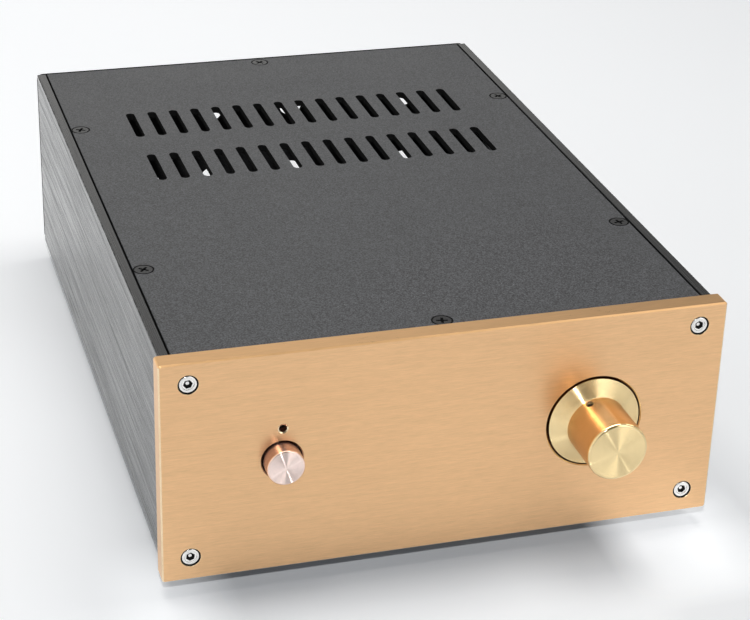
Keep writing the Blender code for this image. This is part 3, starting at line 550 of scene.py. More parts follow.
@dataclass(frozen=True)
class BrushedFinish(Finish):
    """Anodised aluminium with straight brush marks, a line of its edge colour along its cut edges, pale
    where it is rubbed and black where it is painted shade, and painted shade on faces that look up.
    """

    edge_colour: Colour
    grain: Grain
    line_length: float
    line_width: float
    contrast: float
    anisotropy: float
    edge_width: float
    edge_strength: float
    gloss_spread: float = 0.05
    ior: float = 1.5
    edge_roughness: float = 0.3
    painted_top_shade: float = 1.0
    follows_edges: ClassVar[bool] = True

    def cover(self, on: Surface) -> Material:
        """Builds the finish.

        Args:
            on: The surface, with a box-shaped node.

        Returns:
            The material.
        """
        graph = on.graph
        parts = graph.split(on.place)
        order = {Grain.ALONG_X: (0, 1, 2), Grain.ALONG_Y: (1, 0, 2)}[self.grain]
        lines = on.effect(on.effects.brushed, Vector=graph.join(*(parts[axis] for axis in order)),
                          Length=self.line_length, Width=self.line_width)
        tone = graph.remap(lines["Tone"], *MIDDLE_NOISE, 1.0 - self.contrast, 1.0 + self.contrast)
        # Painted shade: faces that look up are darkened by a factor.
        tone = graph.times(tone, graph.remap(graph.upward(), 0.5, 0.9, 1.0, self.painted_top_shade))
        # The edge line is rubbed metal where the edge colour is pale, and painted shade where it is black.
        rubbed_and_shaded_edges = on.rubbed_and_shaded_edges(self.edge_width, self.edge_strength)
        base = graph.mix(rubbed_and_shaded_edges, graph.toned(self.colour, tone), rgba(self.edge_colour))
        gloss = graph.remap(lines["Tone"], *MIDDLE_NOISE, self.roughness - self.gloss_spread,
                            self.roughness + self.gloss_spread)
        gloss = on.smudged(gloss, 0.03)
        gloss = graph.times_plus(graph.math("SUBTRACT", self.edge_roughness, gloss), rubbed_and_shaded_edges, gloss)
        along = graph.join(*(float(index == self.grain.value) for index in range(3)))
        graph.feed(on.shader.inputs["Tangent"], along)
        return on.finish(on.dusted(base, 0.35, (0.45, 0.44, 0.42)), gloss, lines["Height"], self.bump,
                         Metallic=self.metallic, Anisotropic=self.anisotropy, IOR=self.ior,
                         Anisotropic_Rotation=ACROSS_GRAIN)


@dataclass(frozen=True)
class BlastedFinish(Finish):
    """Bead-blasted anodised aluminium, with fine pits and paler edges."""

    fleck_colour: Colour
    grain_size: float
    edge_width: float
    edge_strength: float
    edge_colour: Colour
    specular: float = 0.5
    follows_edges: ClassVar[bool] = True

    def cover(self, on: Surface) -> Material:
        """Builds the finish.

        Args:
            on: The surface, with a box-shaped node.

        Returns:
            The material.
        """
        graph = on.graph
        grain = on.effect(on.effects.blasted, Size=self.grain_size)
        base = graph.mix(grain["Speckle"], rgba(self.colour), rgba(self.fleck_colour))
        base = graph.mix(on.rubbed_and_shaded_edges(self.edge_width, self.edge_strength), base, rgba(self.edge_colour))
        gloss = on.smudged(graph.times_plus(grain["Speckle"], 0.08, self.roughness - 0.04), -0.04)
        return on.finish(on.dusted(base, 0.5), gloss, grain["Height"], self.bump, Metallic=self.metallic,
                         Specular_IOR_Level=self.specular)


@dataclass(frozen=True)
class TurnedFinish(Finish):
    """Metal turned on a lathe, with rings round the piece's own Z axis."""

    pitch: float
    contrast: float
    anisotropy: float
    slope: float = 0.0
    gloss_spread: float = 0.03

    def cover(self, on: Surface) -> Material:
        """Builds the finish.

        Args:
            on: The surface.

        Returns:
            The material.
        """
        graph = on.graph
        rings = on.effect(on.effects.turned, Pitch=self.pitch)
        tone = graph.remap(rings["Tone"], *MIDDLE_NOISE, 1.0 - self.contrast, 1.0 + self.contrast)
        gloss = graph.remap(rings["Height"], *MIDDLE_NOISE, self.roughness - self.gloss_spread,
                            self.roughness + self.gloss_spread)
        normal = on.effect(on.effects.grooves, Slope=self.slope)["Normal"] if self.slope else None
        tangent = graph.add("Tangent", direction_type="RADIAL", axis="Z").outputs[0]
        graph.feed(on.shader.inputs["Tangent"], tangent)
        return on.finish(graph.toned(self.colour, tone), on.smudged(gloss, 0.02), rings["Height"], self.bump,
                         normal, Metallic=self.metallic, Anisotropic=self.anisotropy,
                         Anisotropic_Rotation=ACROSS_GRAIN)


@dataclass(frozen=True)
class MouldedFinish(Finish):
    """Plastic, rubber, plated or mill metal: a fine grain, mottled tone and soft gloss changes."""

    second_colour: Colour
    grain_size: float
    mottle: float
    coat: float = 0.0
    transmission: float = 0.0
    specular: float = 0.5

    def cover(self, on: Surface) -> Material:
        """Builds the finish.

        Args:
            on: The surface.

        Returns:
            The material.
        """
        graph = on.graph
        grain = on.effect(on.effects.blasted, Size=self.grain_size)
        patch = graph.remap(graph.noise(on.place, 1.0 / self.mottle, 3.0, 0.6), 0.35, 0.65)
        base = on.dusted(graph.mix(patch, rgba(self.colour), rgba(self.second_colour)), 0.3)
        return on.finish(base, on.smudged(self.roughness - 0.04, 0.08), grain["Height"], self.bump,
                         Metallic=self.metallic, Coat_Weight=self.coat,
                         Transmission_Weight=self.transmission, Specular_IOR_Level=self.specular)


CHAMPAGNE = BrushedFinish("champagne brushed", (0.86, 0.54, 0.29), 1.0, 0.34, 0.002 * MM, (0.95, 0.72, 0.42),
                          Grain.ALONG_X, 5.0 * MM, 0.22 * MM, 0.11, 0.55, 0.3 * MM, 0.15, 0.03)
CHAMPAGNE_RIM = replace(CHAMPAGNE, name="champagne rim", colour=(0.88, 0.53, 0.255), roughness=0.29,
                        anisotropy=0.4, contrast=0.08)
# Painted shade: black, matt lines along the side panels' edges and darker faces that look up.
BLACK_BRUSHED = BrushedFinish("black brushed", (0.034, 0.035, 0.036), 0.0, 0.24, 0.018 * MM,
                              (0.004, 0.004, 0.004), Grain.ALONG_Y, 45 * MM, 0.5 * MM, 0.7, 0.6, 0.5 * MM,
                              1.0, 0.26, 1.57, 0.9, 0.45)
BLACK_BLASTED = BlastedFinish("black blasted", (0.004, 0.004, 0.005), 0.0, 0.46, 0.03 * MM,
                              (0.099, 0.102, 0.109), 0.58 * MM, 0.45 * MM, 0.25, (0.10, 0.10, 0.10), 0.52)
# Painted shade: a darker copy of the cover's finish for the rear panel, so that its top edge shows as a dark
# line behind the cover.
REAR_BLASTED = replace(BLACK_BLASTED, name="rear blasted", colour=(0.012, 0.012, 0.013),
                       fleck_colour=(0.030, 0.030, 0.031), edge_strength=0.1)
GOLD_TURNED = TurnedFinish("gold turned", (0.98, 0.77, 0.42), 1.0, 0.23, 0.0004 * MM, 0.10 * MM, 0.03,
                           1.0, 0.45)
# Painted shade: a darker copy of the gold finish for the knob's side wall.
GOLD_SHADED_GRIP = TurnedFinish("gold grip", (0.67, 0.42, 0.20), 1.0, 0.22, 0.0005 * MM, 0.10 * MM, 0.05, 1.0, 0.12)
GOLD_POLISHED = TurnedFinish("gold polished", (0.90, 0.70, 0.38), 1.0, 0.09, 0.001 * MM, 0.10 * MM, 0.03,
                             0.4)
ROSE_TURNED = TurnedFinish("rose turned", (0.97, 0.79, 0.73), 1.0, 0.22, 0.0004 * MM, 0.09 * MM, 0.03,
                           1.0, 0.75)
# Painted shade: a darker copy of the rose finish for the button's side wall.
ROSE_SHADED_GRIP = TurnedFinish("rose grip", (0.58, 0.40, 0.37), 1.0, 0.22, 0.0005 * MM, 0.09 * MM, 0.05, 0.9, 0.3)
ROSE_POLISHED = TurnedFinish("rose polished", (0.92, 0.70, 0.60), 1.0, 0.09, 0.001 * MM, 0.10 * MM, 0.03,
                             0.4)
FOOT_TURNED = TurnedFinish("foot turned", (0.80, 0.79, 0.76), 1.0, 0.22, 0.004 * MM, 0.15 * MM, 0.05, 0.6)
NICKEL = TurnedFinish("nickel turned", (0.88, 0.87, 0.85), 1.0, 0.17, 0.003 * MM, 0.2 * MM, 0.05, 0.4)
CUT_EDGE = MouldedFinish("cut edge", (0.93, 0.74, 0.50), 1.0, 0.15, 0.001 * MM, (0.88, 0.68, 0.44),
                         0.2 * MM, 3 * MM)
# Painted shade: a dark brown finish on the walls of the panel's holes and pocket and in the knob's grub
# hole.
PANEL_RECESS_SHADE = MouldedFinish("panel recess", (0.16, 0.055, 0.035), 0.7, 0.45, 0.004 * MM,
                             (0.10, 0.04, 0.02), 0.3 * MM, 2 * MM)
# Painted shade: a near-black finish on recess walls and floors, slots, countersinks, screw wells and cut
# sides.
RECESS_SHADE = MouldedFinish("dark recess", (0.006, 0.006, 0.006), 0.0, 0.8, 0.004 * MM,
                            (0.012, 0.012, 0.012), 0.2 * MM, 1 * MM, specular=0.1)
BLACK_STEEL = MouldedFinish("black steel", (0.020, 0.020, 0.021), 0.5, 0.25, 0.006 * MM,
                            (0.036, 0.036, 0.037), 0.2 * MM, 1.2 * MM)
ZINC = MouldedFinish("zinc plate", (0.56, 0.57, 0.56), 1.0, 0.34, 0.006 * MM, (0.48, 0.49, 0.46), 0.3 * MM,
                     2.5 * MM)
MILL = MouldedFinish("mill aluminium", (0.62, 0.63, 0.64), 1.0, 0.42, 0.008 * MM, (0.55, 0.56, 0.57),
                     0.4 * MM, 6 * MM)
RUBBER = MouldedFinish("black rubber", (0.016, 0.016, 0.016), 0.0, 0.82, 0.03 * MM, (0.026, 0.026, 0.025),
                       0.4 * MM, 4 * MM)
PLASTIC = MouldedFinish("black plastic", (0.018, 0.018, 0.020), 0.0, 0.5, 0.015 * MM, (0.028, 0.028, 0.030),
                        0.25 * MM, 3 * MM)
LENS = MouldedFinish("clear lens", (0.46, 0.22, 0.16), 0.0, 0.15, 0.002 * MM, (0.36, 0.16, 0.11), 0.3 * MM,
                     1 * MM, 0.5, 0.3)


def arc(radius: float, start: float, end: float, steps: int, centre: Point = (0.0, 0.0)) -> list[Point]:
    """Points on a circle.

    Args:
        radius: The circle's radius.
        start: The first point's angle.
        end: The last point's angle.
        steps: How many chords there are.
        centre: The circle's centre.

    Returns:
        The points.
    """
    angles = (start + (end - start) * step / steps for step in range(steps + 1))
    return [(centre[0] + radius * math.cos(a), centre[1] + radius * math.sin(a)) for a in angles]


def rectangle(width: float, height: float, centre: Point, radius: float, steps: int) -> list[Point]:
    """A rectangle's outline, with round corners.

    Args:
        width: Its size along X.
        height: Its size along Y.
        centre: Its centre.
        radius: The corners' radius.
        steps: How many chords each corner has.

    Returns:
        The outline's points.
    """
    points: list[Point] = []
    for turn, (side, rise) in enumerate(((1, 1), (-1, 1), (-1, -1), (1, -1))):
        corner = (centre[0] + side * (width / 2 - radius), centre[1] + rise * (height / 2 - radius))
        start = turn * QUARTER
        points += arc(radius, start, start + QUARTER, steps, corner)
    return points


def prism(shape: Shape, outline: list[Point], low: float, high: float) -> Shape:
    """Extrudes a flat outline along Z.

    Args:
        shape: The bmesh that it is added to.
        outline: The outline's points.
        low: The height of its lower face.
        high: The height of its upper face.

    Returns:
        The same bmesh.
    """
    face = shape.faces.new([shape.verts.new((x, y, low)) for x, y in outline])
    grown = bmesh.ops.extrude_face_region(shape, geom=[face])["geom"]
    tops = [item for item in grown if isinstance(item, bmesh.types.BMVert)]
    bmesh.ops.translate(shape, verts=tops, vec=Vector((0, 0, high - low)))
    return shape


def turned(shape: Shape, profile: list[Point], segments: int, place: Matrix = Matrix(),
           ring: bool = False) -> Shape:
    """Spins a profile about a frame's Z.

    Args:
        shape: The bmesh that it is added to.
        profile: Points of radius and height, which start and end on the axis unless it is a ring.
        segments: How many chords the circle has.
        place: The frame.
        ring: Whether the profile closes on itself.

    Returns:
        The same bmesh.
    """
    before = set(shape.verts)
    points = [shape.verts.new((radius, 0, height)) for radius, height in profile]
    edges = [shape.edges.new(pair) for pair in zip(points, points[1:])]
    if ring:
        edges.append(shape.edges.new((points[-1], points[0])))
    bmesh.ops.spin(shape, geom=points + edges, cent=(0, 0, 0), axis=(0, 0, 1),
                   angle=2 * math.pi, steps=segments, use_merge=True)
    bmesh.ops.remove_doubles(shape, verts=[vert for vert in shape.verts if vert not in before], dist=1e-7)
    bmesh.ops.transform(shape, matrix=place, verts=[vert for vert in shape.verts if vert not in before])
    return shape


def at(x: float, y: float, z: float = 0.0) -> Matrix:
    """A frame moved to a point."""
    return Matrix.Translation((x, y, z))


def drill(cutter: Shape, steps: tuple[Point, ...], mouth: tuple[Point, ...], depth: float,
          segments: int, centre: Point) -> None:
    """Adds the cutter of a stepped hole, down from a face at the height 0.

    Args:
        cutter: The bmesh that it is added to.
        steps: From the far end, each step's radius and the height where it ends.
        mouth: Points of radius and height that the cutter opens through.
        depth: How deep the hole goes.
        segments: How many chords its circle has.
        centre: The hole's centre.
    """
    profile = [(0.0, -depth)]
    for radius, top in steps:
        profile += [(radius, profile[-1][1]), (radius, top)]
    profile += mouth
    turned(cutter, profile + [(0.0, profile[-1][1])], segments, at(*centre))


def flared(radius: float) -> tuple[Point, ...]:
    """A hole's conical mouth, which has a radius at the face and opens further above it."""
    return ((radius + ABOVE, ABOVE),)


def mesh_from(shape: Shape, name: str = "shape") -> Mesh:
    """Turns a bmesh into a mesh whose faces point outwards.

    Args:
        shape: The bmesh, which is used up.
        name: The mesh's name.

    Returns:
        The mesh.
    """
    mesh = bpy.data.meshes.new(name)
    bmesh.ops.recalc_face_normals(shape, faces=shape.faces)
    shape.to_mesh(mesh)
    shape.free()
    return mesh


def cut(body: Mesh, tool: Shape) -> Mesh:
    """Cuts a tool out of a mesh.

    Args:
        body: The mesh that is cut.
        tool: The cutter, which is used up.

    Returns:
        The cut mesh.
    """
    pieces = [bpy.data.objects.new("blank", mesh) for mesh in (body, mesh_from(tool))]
    for piece in pieces:
        bpy.context.collection.objects.link(piece)
    boolean = pieces[0].modifiers.new("cut", "BOOLEAN")
    boolean.operation = "DIFFERENCE"
    boolean.object = pieces[1]
    bpy.context.view_layer.update()
    evaluated = pieces[0].evaluated_get(bpy.context.evaluated_depsgraph_get())
    result = bpy.data.meshes.new_from_object(evaluated)
    for piece in pieces:
        bpy.data.objects.remove(piece)
    return result


def plate(outline: list[Point], thickness: float, bevel: float, steps: int = 2) -> Shape:
    """A flat plate under the height 0, with its upper edges bevelled.

    Args:
        outline: The plate's outline.
        thickness: How thick it is.
        bevel: The bevel's width.
        steps: How many steps the bevel has.

    Returns:
        The plate's bmesh.
    """
    shape = prism(bmesh.new(), outline, -thickness, 0.0)
    edges = [edge for edge in shape.edges if all(abs(vert.co.z) < 1e-6 for vert in edge.verts)]
    bmesh.ops.bevel(shape, geom=edges, offset=bevel, offset_type="OFFSET", segments=steps, profile=0.5,
                    affect="EDGES")
    return shape


def centre_of(node: str) -> Vector:
    """The middle of a frame node's box."""
    low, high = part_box(node)
    return (low + high) / 2


def on_panel(node: str) -> Vector:
    """Where a node's axis comes through the front panel's face."""
    middle = centre_of(node)
    return Vector((middle.x, PANEL_FACE, middle.z))


class Dresser:
    """Puts pieces into the scene over the frame's nodes."""

    def __init__(self) -> None:
        """Builds the shared effects and keeps the materials made so far."""
        self.effects = SurfaceEffects()
        self.made: dict[str, Material] = {}

    def material(self, finish: Finish, node: str) -> Material:
        """The material of a finish, built once, or once for each node where it follows edges.

        Args:
            finish: The finish.
            node: The frame's node that it is for.

        Returns:
            The material.
        """
        name = f"{finish.name} {node}" if finish.follows_edges else finish.name
        if name not in self.made:
            self.made[name] = finish.cover(Surface(self.effects, name, node))
        return self.made[name]

    def paint(self, node: str, finish: Finish) -> None:
        """Gives a frame node a finish in place of its own material.

        Args:
            node: The node's name.
            finish: The finish.
        """
        mesh = frame["nodes"][node].data
        mesh.materials.clear()
        mesh.materials.append(self.material(finish, node))
        LOG.info("%s painted with %s", node, finish.name)

    def place(self, mesh: Mesh, finishes: tuple[Finish, ...], location: Vector, facing: Facing, body: str,
              node: str, slot: str, zone: ZoneRule | None = None) -> bpy.types.Object:
        """Adds a piece that stands for one of the frame's nodes.

        Args:
            mesh: Its mesh, in its own axes.
            finishes: Its finishes, one for each zone of its surface.
            location: Its place.
            facing: The side of the chassis that its +Z faces.
            body: The body that it rides on.
            node: The node that it replaces, whose name it takes with a tag.
            slot: The record's material slot, which is not used.
            zone: Which of the finishes a face has, or None where there is one.

        Returns:
            The piece.
        """
        name = node + "_detail"
        mesh.materials.clear()
        for finish in finishes:
            mesh.materials.append(self.material(finish, node))
        if zone is not None:
            for polygon in mesh.polygons:
                polygon.material_index = zone(polygon)
        mesh.shade_smooth()
        mesh.set_sharp_from_angle(angle=SHARP_ANGLE)
        for polygon in mesh.polygons:
            square = max(abs(part) for part in polygon.normal) > SQUARE_ON
            polygon.use_smooth = not (square and polygon.area > LARGE_FACE)
        piece = bpy.data.objects.new(name, mesh)
        piece.location = location
        piece.rotation_euler = facing.turn
        bpy.context.scene.collection.objects.link(piece)
        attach(piece, body)
        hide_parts(node)
        LOG.info("%s: %d faces", name, len(mesh.polygons))
        return piece


@dataclass(frozen=True)
class Screw:
    """One kind of machine screw, built with its head's underside or face at the height 0."""

    shank: float
    head: float
    head_height: float
    length: float
    recess: Recess
    sunk: bool
    depth: float = 1.5 * MM
    dimple: float = 0.3 * MM
    tip: float = 0.5 * MM
    rim: float = 0.22 * MM
    rounding: float = 0.35 * MM
    dish: float = 0.30 * MM
    dish_share: float = 0.70
    inset_share: float = 0.60
    cross_share: float = 0.17
    cross_taper: float = 0.62
    segments: int = 48

    @property
    def top(self) -> float:
        """The height of the head's face."""
        return 0.0 if self.sunk else self.head_height

    @property
    def reach(self) -> float:
        """How far the recess reaches from the middle."""
        return self.head * self.recess.value

    def profile(self) -> list[Point]:
        """The turned outline, with a short cone at the tip.

        Returns:
            Points of radius and height.
        """
        shaft = [(0.0, -self.length), (self.shank - self.tip, -self.length),
                 (self.shank, -self.length + self.tip)]
        if self.sunk:
            return shaft + [(self.shank, -self.head_height), (self.head, -self.rim),
                            (self.head, -self.rim / 3), (self.head - self.rim / 3, 0.0), (0.0, 0.0)]
        crown = arc(self.rounding, 0.0, QUARTER, 4, (self.head - self.rounding, self.top - self.rounding))
        step, dish = self.head * self.dish_share, self.dish
        return shaft + [(self.shank, 0.0), (self.head, 0.0)] + crown + [
            (step, self.top), (step - 0.5 * dish, self.top - 0.8 * dish), (step - dish, self.top - dish),
            (0.0, self.top - dish)]

    def drive(self) -> Shape:
        """The recess's cutter, which is a hexagon with a drilled point or a cross that tapers inwards.

        Returns:
            The cutter, through the top of the head.
        """
        shape = bmesh.new()
        floor, above = self.top - self.depth, self.top + 0.5 * MM
        if self.recess is Recess.HEXAGON:
            prism(shape, arc(self.reach, 0.0, 2 * math.pi, 6)[:-1], floor, above)
            lowest = min(shape.faces, key=lambda face: face.calc_center_median().z)
            bmesh.ops.inset_individual(shape, faces=[lowest], thickness=self.reach * self.inset_share)
            for vert in lowest.verts:
                vert.co.z -= self.dimple
            return shape
        width = self.head * self.cross_share
        arm = ((width, width), (width * 0.9, self.reach), (-width * 0.9, self.reach))
        turns = (Matrix.Rotation(turn * QUARTER, 2) for turn in range(4))
        prism(shape, [tuple(turn @ Vector(corner)) for turn in turns for corner in arm], floor, above)
        for vert in shape.verts:
            if vert.co.z < self.top:
                vert.co.xy *= self.cross_taper
        return shape

    def zone(self, polygon: Polygon) -> int:
        """Tells the recess's walls and floor from the head and from the drill's point under the recess.

        Args:
            polygon: A face of the screw.

        Returns:
            1 inside the recess, where the shade is painted, and 0 elsewhere.
        """
        middle = polygon.center
        inside = math.hypot(middle.x, middle.y) < self.reach * 1.02
        return int(inside and 0.32 * MM < self.top - middle.z < self.depth + 0.8 * self.dimple)

    def drive_in(self, dresser: Dresser, node: str, facing: Facing, finish: Finish, slot: str,
                 turn: float) -> None:
        """Puts a screw where the frame has it.

        Args:
            dresser: What puts the pieces into the scene.
            node: The frame's node.
            facing: The side that its head faces.
            finish: Its finish.
            slot: The record's material slot.
            turn: How far its recess is turned.
        """
        body = turned(bmesh.new(), self.profile(), self.segments)
        mesh = cut(mesh_from(body, node + "_mesh"), self.drive())
        mesh.transform(Matrix.Rotation(turn, 4, "Z"))
        seat = facing.side_of(node)
        seat[facing.axis] -= facing.outward * self.top
        dresser.place(mesh, (finish, RECESS_SHADE), seat, facing, "chassis", node, slot, self.zone)


@dataclass
class Fasteners:
    """Every screw that shows."""

    plate: Screw = Screw(2.0 * MM, 3.6 * MM, 1.85 * MM, 6.0 * MM, Recess.CROSS, True)
    rear: Screw = Screw(2.0 * MM, 3.6 * MM, 1.85 * MM, 14.0 * MM, Recess.CROSS, True)
    rear_bracket: Screw = Screw(1.5 * MM, 2.7 * MM, 1.45 * MM, 6.0 * MM, Recess.CROSS, True)
    panel: Screw = Screw(2.0 * MM, 3.4 * MM, 2.6 * MM, 16.0 * MM, Recess.HEXAGON, False, 0.9 * MM)
    foot: Screw = Screw(2.0 * MM, 3.6 * MM, 2.4 * MM, 11.0 * MM, Recess.CROSS, False)

    def dress(self, dresser: Dresser) -> None:
        """Builds and places the screws, each turned as a hand would leave it.

        Args:
            dresser: What puts the pieces into the scene.
        """
        sixes = ((self.plate, "cover_screw", Facing.UP, BLACK_STEEL, "black_steel", 0.9),
                 (self.plate, "bottom_screw", Facing.DOWN, BLACK_STEEL, "black_steel", 1.3))
        fours = ((self.rear, "rear_panel_screw", Facing.REAR, BLACK_STEEL, "black_steel", 0.7),
                 (self.panel, "front_panel_screw", Facing.FRONT, NICKEL, "nickel_plate", 0.4),
                 (self.foot, "foot_screw", Facing.DOWN, ZINC, "zinc_steel", 0.5))
        for count, rows in ((6, sixes), (4, fours)):
            for index in range(1, count + 1):
                for screw, name, facing, finish, slot, turn in rows:
                    screw.drive_in(dresser, f"{name}_{index}", facing, finish, slot, turn * index)
        for node in ("bracket_screw_rear_bottom", "bracket_screw_rear_top"):
            self.rear_bracket.drive_in(dresser, node, Facing.REAR, BLACK_STEEL, "black_steel", 0.3)


@dataclass
class VentedPlate:
    """A flat plate with two rows of round-ended slots and sunk screw holes."""

    node: str
    facing: Facing
    screws: str
    feet: int = 0
    slot_count: int = 16
    slot_pitch: float = 10.0 * MM
    slot_width: float = 4.0 * MM
    slot_length: float = 29.2 * MM
    rows: tuple[float, float] = (174.7 * MM, 225.1 * MM)
    screw_bore: float = 2.3 * MM
    sink_radius: float = 4.25 * MM
    edge: float = 0.3 * MM
    joint: float = 0.3 * MM
    corner: float = 0.5 * MM
    side_margin: float = 1.0 * MM
    cone: float = 0.95

    def mesh(self, low: Vector, high: Vector) -> Mesh:
        """The plate in its own axes, with +Z out of the chassis and +Y back from the panel.

        Args:
            low: The plate's lowest corner.
            high: The plate's highest corner.

        Returns:
            The plate's mesh.
        """
        front, rear = low.y - CASE_FRONT, high.y - CASE_FRONT
        thickness = high.z - low.z
        through = thickness + ABOVE
        outline = rectangle(high.x - low.x - 2 * self.joint, rear - front, (0.0, (front + rear) / 2),
                            self.corner, 3)
        cutter = bmesh.new()
        for row in self.rows:
            for index in range(self.slot_count):
                x = (index - (self.slot_count - 1) / 2) * self.slot_pitch
                prism(cutter, self._slot(x, row), -through, ABOVE)
        sink = ((self.screw_bore, self.screw_bore - self.sink_radius),)
        for centre in self._points(self.screws, 6):
            drill(cutter, sink, flared(self.sink_radius), through, 48, centre)
        for centre in self._points("foot", self.feet):
            drill(cutter, ((self.screw_bore, ABOVE),), (), through, 32, centre)
        return cut(mesh_from(plate(outline, thickness, self.edge), self.node), cutter)

    def _slot(self, x: float, y: float) -> list[Point]:
        """One slot's outline, which runs along Y.

        Args:
            x: Its centre's x.
            y: Its centre's y.

        Returns:
            The outline's points.
        """
        reach = (self.slot_length - self.slot_width) / 2
        radius = self.slot_width / 2
        return (arc(radius, 0.0, math.pi, 12, (x, y + reach))
                + arc(radius, math.pi, 2 * math.pi, 12, (x, y - reach)))

    def _points(self, name: str, count: int) -> list[Point]:
        """Where the middles of a row of nodes lie in the plate's own axes.

        Args:
            name: The nodes' common name.
            count: How many there are.

        Returns:
            Points of x and distance behind the front panel.
        """
        middles = [centre_of(f"{name}_{index}") for index in range(1, count + 1)]
        return [(self.facing.outward * middle.x, middle.y - CASE_FRONT) for middle in middles]

    def zone(self, polygon: Polygon, low: Vector, high: Vector) -> int:
        """Tells the sunk cones, the slots' walls and the cut sides from the plate's two faces.

        Args:
            polygon: A face of the plate, in the frame's axes.
            low: The plate's lowest corner.
            high: The plate's highest corner.

        Returns:
            1 in a cone and on a wall, where the shade is painted, and 0 elsewhere.
        """
        middle, rim = polygon.center, self.side_margin
        inland = low.x + rim < middle.x < high.x - rim and low.y + rim < middle.y < high.y - rim
        return int(abs(polygon.normal.z) < (self.cone if inland else WALL))

    def dress(self, dresser: Dresser) -> None:
        """Builds the plate and puts it in place.

        Args:
            dresser: What puts the pieces into the scene.
        """
        low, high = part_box(self.node)
        mesh = self.mesh(low, high)
        turn = Matrix.Rotation(self.facing.turn[1], 4, "Y")
        mesh.transform(at(0.0, CASE_FRONT, self.facing.side_of(self.node).z) @ turn)
        dresser.place(mesh, (BLACK_BLASTED, RECESS_SHADE), Vector(), Facing.UP, "chassis", self.node,
                      "black_blasted", lambda polygon: self.zone(polygon, low, high))


@dataclass
class FrontPanel:
    """The thick milled front panel, with its pocket, holes and chamfered rim."""

    corner_radius: float = 1.2 * MM
    chamfer: float = 0.6 * MM
    pocket_radius: float = 19.3 * MM
    pocket_depth: float = 3.4 * MM
    bush_radius: float = 4.8 * MM
    hole_edge: float = 0.4 * MM
    button_hole: float = 7.9 * MM
    lamp_hole: float = 1.55 * MM
    lamp_sink: float = 2.05 * MM
    lamp_sink_depth: float = 0.22 * MM
    lamp_wall: float = 3.3 * MM
    lamp_bore: float = 3.5 * MM
    screw_bore: float = 2.3 * MM
    screw_rim: float = 3.88 * MM
    screw_seat: float = 3.2 * MM
    screw_lip: float = 0.08 * MM
    well_reach: float = 20.0 * MM
    near: float = 0.05 * MM

    def mesh(self, low: Vector, high: Vector) -> Mesh:
        """The panel in its own axes, with +Z forwards and its face at the height 0.

        Args:
            low: The panel's lowest corner.
            high: The panel's highest corner.

        Returns:
            The panel's mesh.
        """
        thickness = high.y - low.y
        middle = (0.0, (low.z + high.z) / 2)
        outline = rectangle(high.x - low.x, high.z - low.z, middle, self.corner_radius, 10)
        edge, lip = self.hole_edge, self.screw_lip
        pocket = ((self.bush_radius, -self.pocket_depth), (self.pocket_radius, -edge))
        lamp = ((self.lamp_bore, -self.lamp_wall), (self.lamp_hole, -self.lamp_sink_depth))
        well = ((self.screw_bore, -self.screw_seat), (self.screw_rim, -lip))
        holes = [("volume_knob", pocket, flared(self.pocket_radius + edge), 128),
                 ("power_button", ((self.button_hole, -edge),), flared(self.button_hole + edge), 96),
                 ("led_holder", lamp, ((self.lamp_sink, 0.0), (self.lamp_sink, ABOVE)), 48)]
        rim = flared(self.screw_rim + lip)
        holes += [(f"front_panel_screw_{index}", well, rim, 56) for index in range(1, 5)]
        cutter = bmesh.new()
        for node, steps, mouth, segments in holes:
            centre = centre_of(node)
            drill(cutter, steps, mouth, thickness + ABOVE, segments, (centre.x, centre.z))
        return cut(mesh_from(plate(outline, thickness, self.chamfer, 1), "front_panel"), cutter)

    def zone(self, polygon: Polygon, low: Vector, high: Vector) -> int:
        """Tells the brushed face, the cut edges, the recesses and the outer rim apart.

        Args:
            polygon: A face of the panel, in the frame's axes.
            low: The panel's lowest corner.
            high: The panel's highest corner.

        Returns:
            0 on the face, 1 on the cut edges, 2 in the holes and the pocket, 3 on the rim, 4 in the wells; 2
            and 4 carry painted shade.
        """
        middle = polygon.center
        forward = -polygon.normal.y
        if 0.15 < forward < FLAT_ON:
            return 3 if polygon.normal.z > WALL and middle.z > high.z - 2 * self.chamfer else 1
        if forward > FLAT_ON and middle.y < low.y + self.near:
            return 0
        outer = (middle.x < low.x + self.near or middle.x > high.x - self.near
                 or middle.z < low.z + self.near or middle.z > high.z - self.near)
        round_corner = abs(middle.x) > high.x - self.corner_radius
        if outer or round_corner or forward < -FLAT_ON:
            return 3
        return 4 if abs(middle.x) > high.x - self.well_reach else 2

    def dress(self, dresser: Dresser) -> None:
        """Builds the panel and puts it in place.

        Args:
            dresser: What puts the pieces into the scene.
        """
        low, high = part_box("front_panel")
        mesh = self.mesh(low, high)
        mesh.transform(at(0.0, PANEL_FACE) @ Matrix.Rotation(QUARTER, 4, "X"))
        finishes = (CHAMPAGNE, CUT_EDGE, PANEL_RECESS_SHADE, CHAMPAGNE_RIM, RECESS_SHADE)
        piece = dresser.place(mesh, finishes, Vector(), Facing.UP, "chassis", "front_panel",
                              "champagne_anodised", lambda polygon: self.zone(polygon, low, high))
        piece.visible_diffuse = False


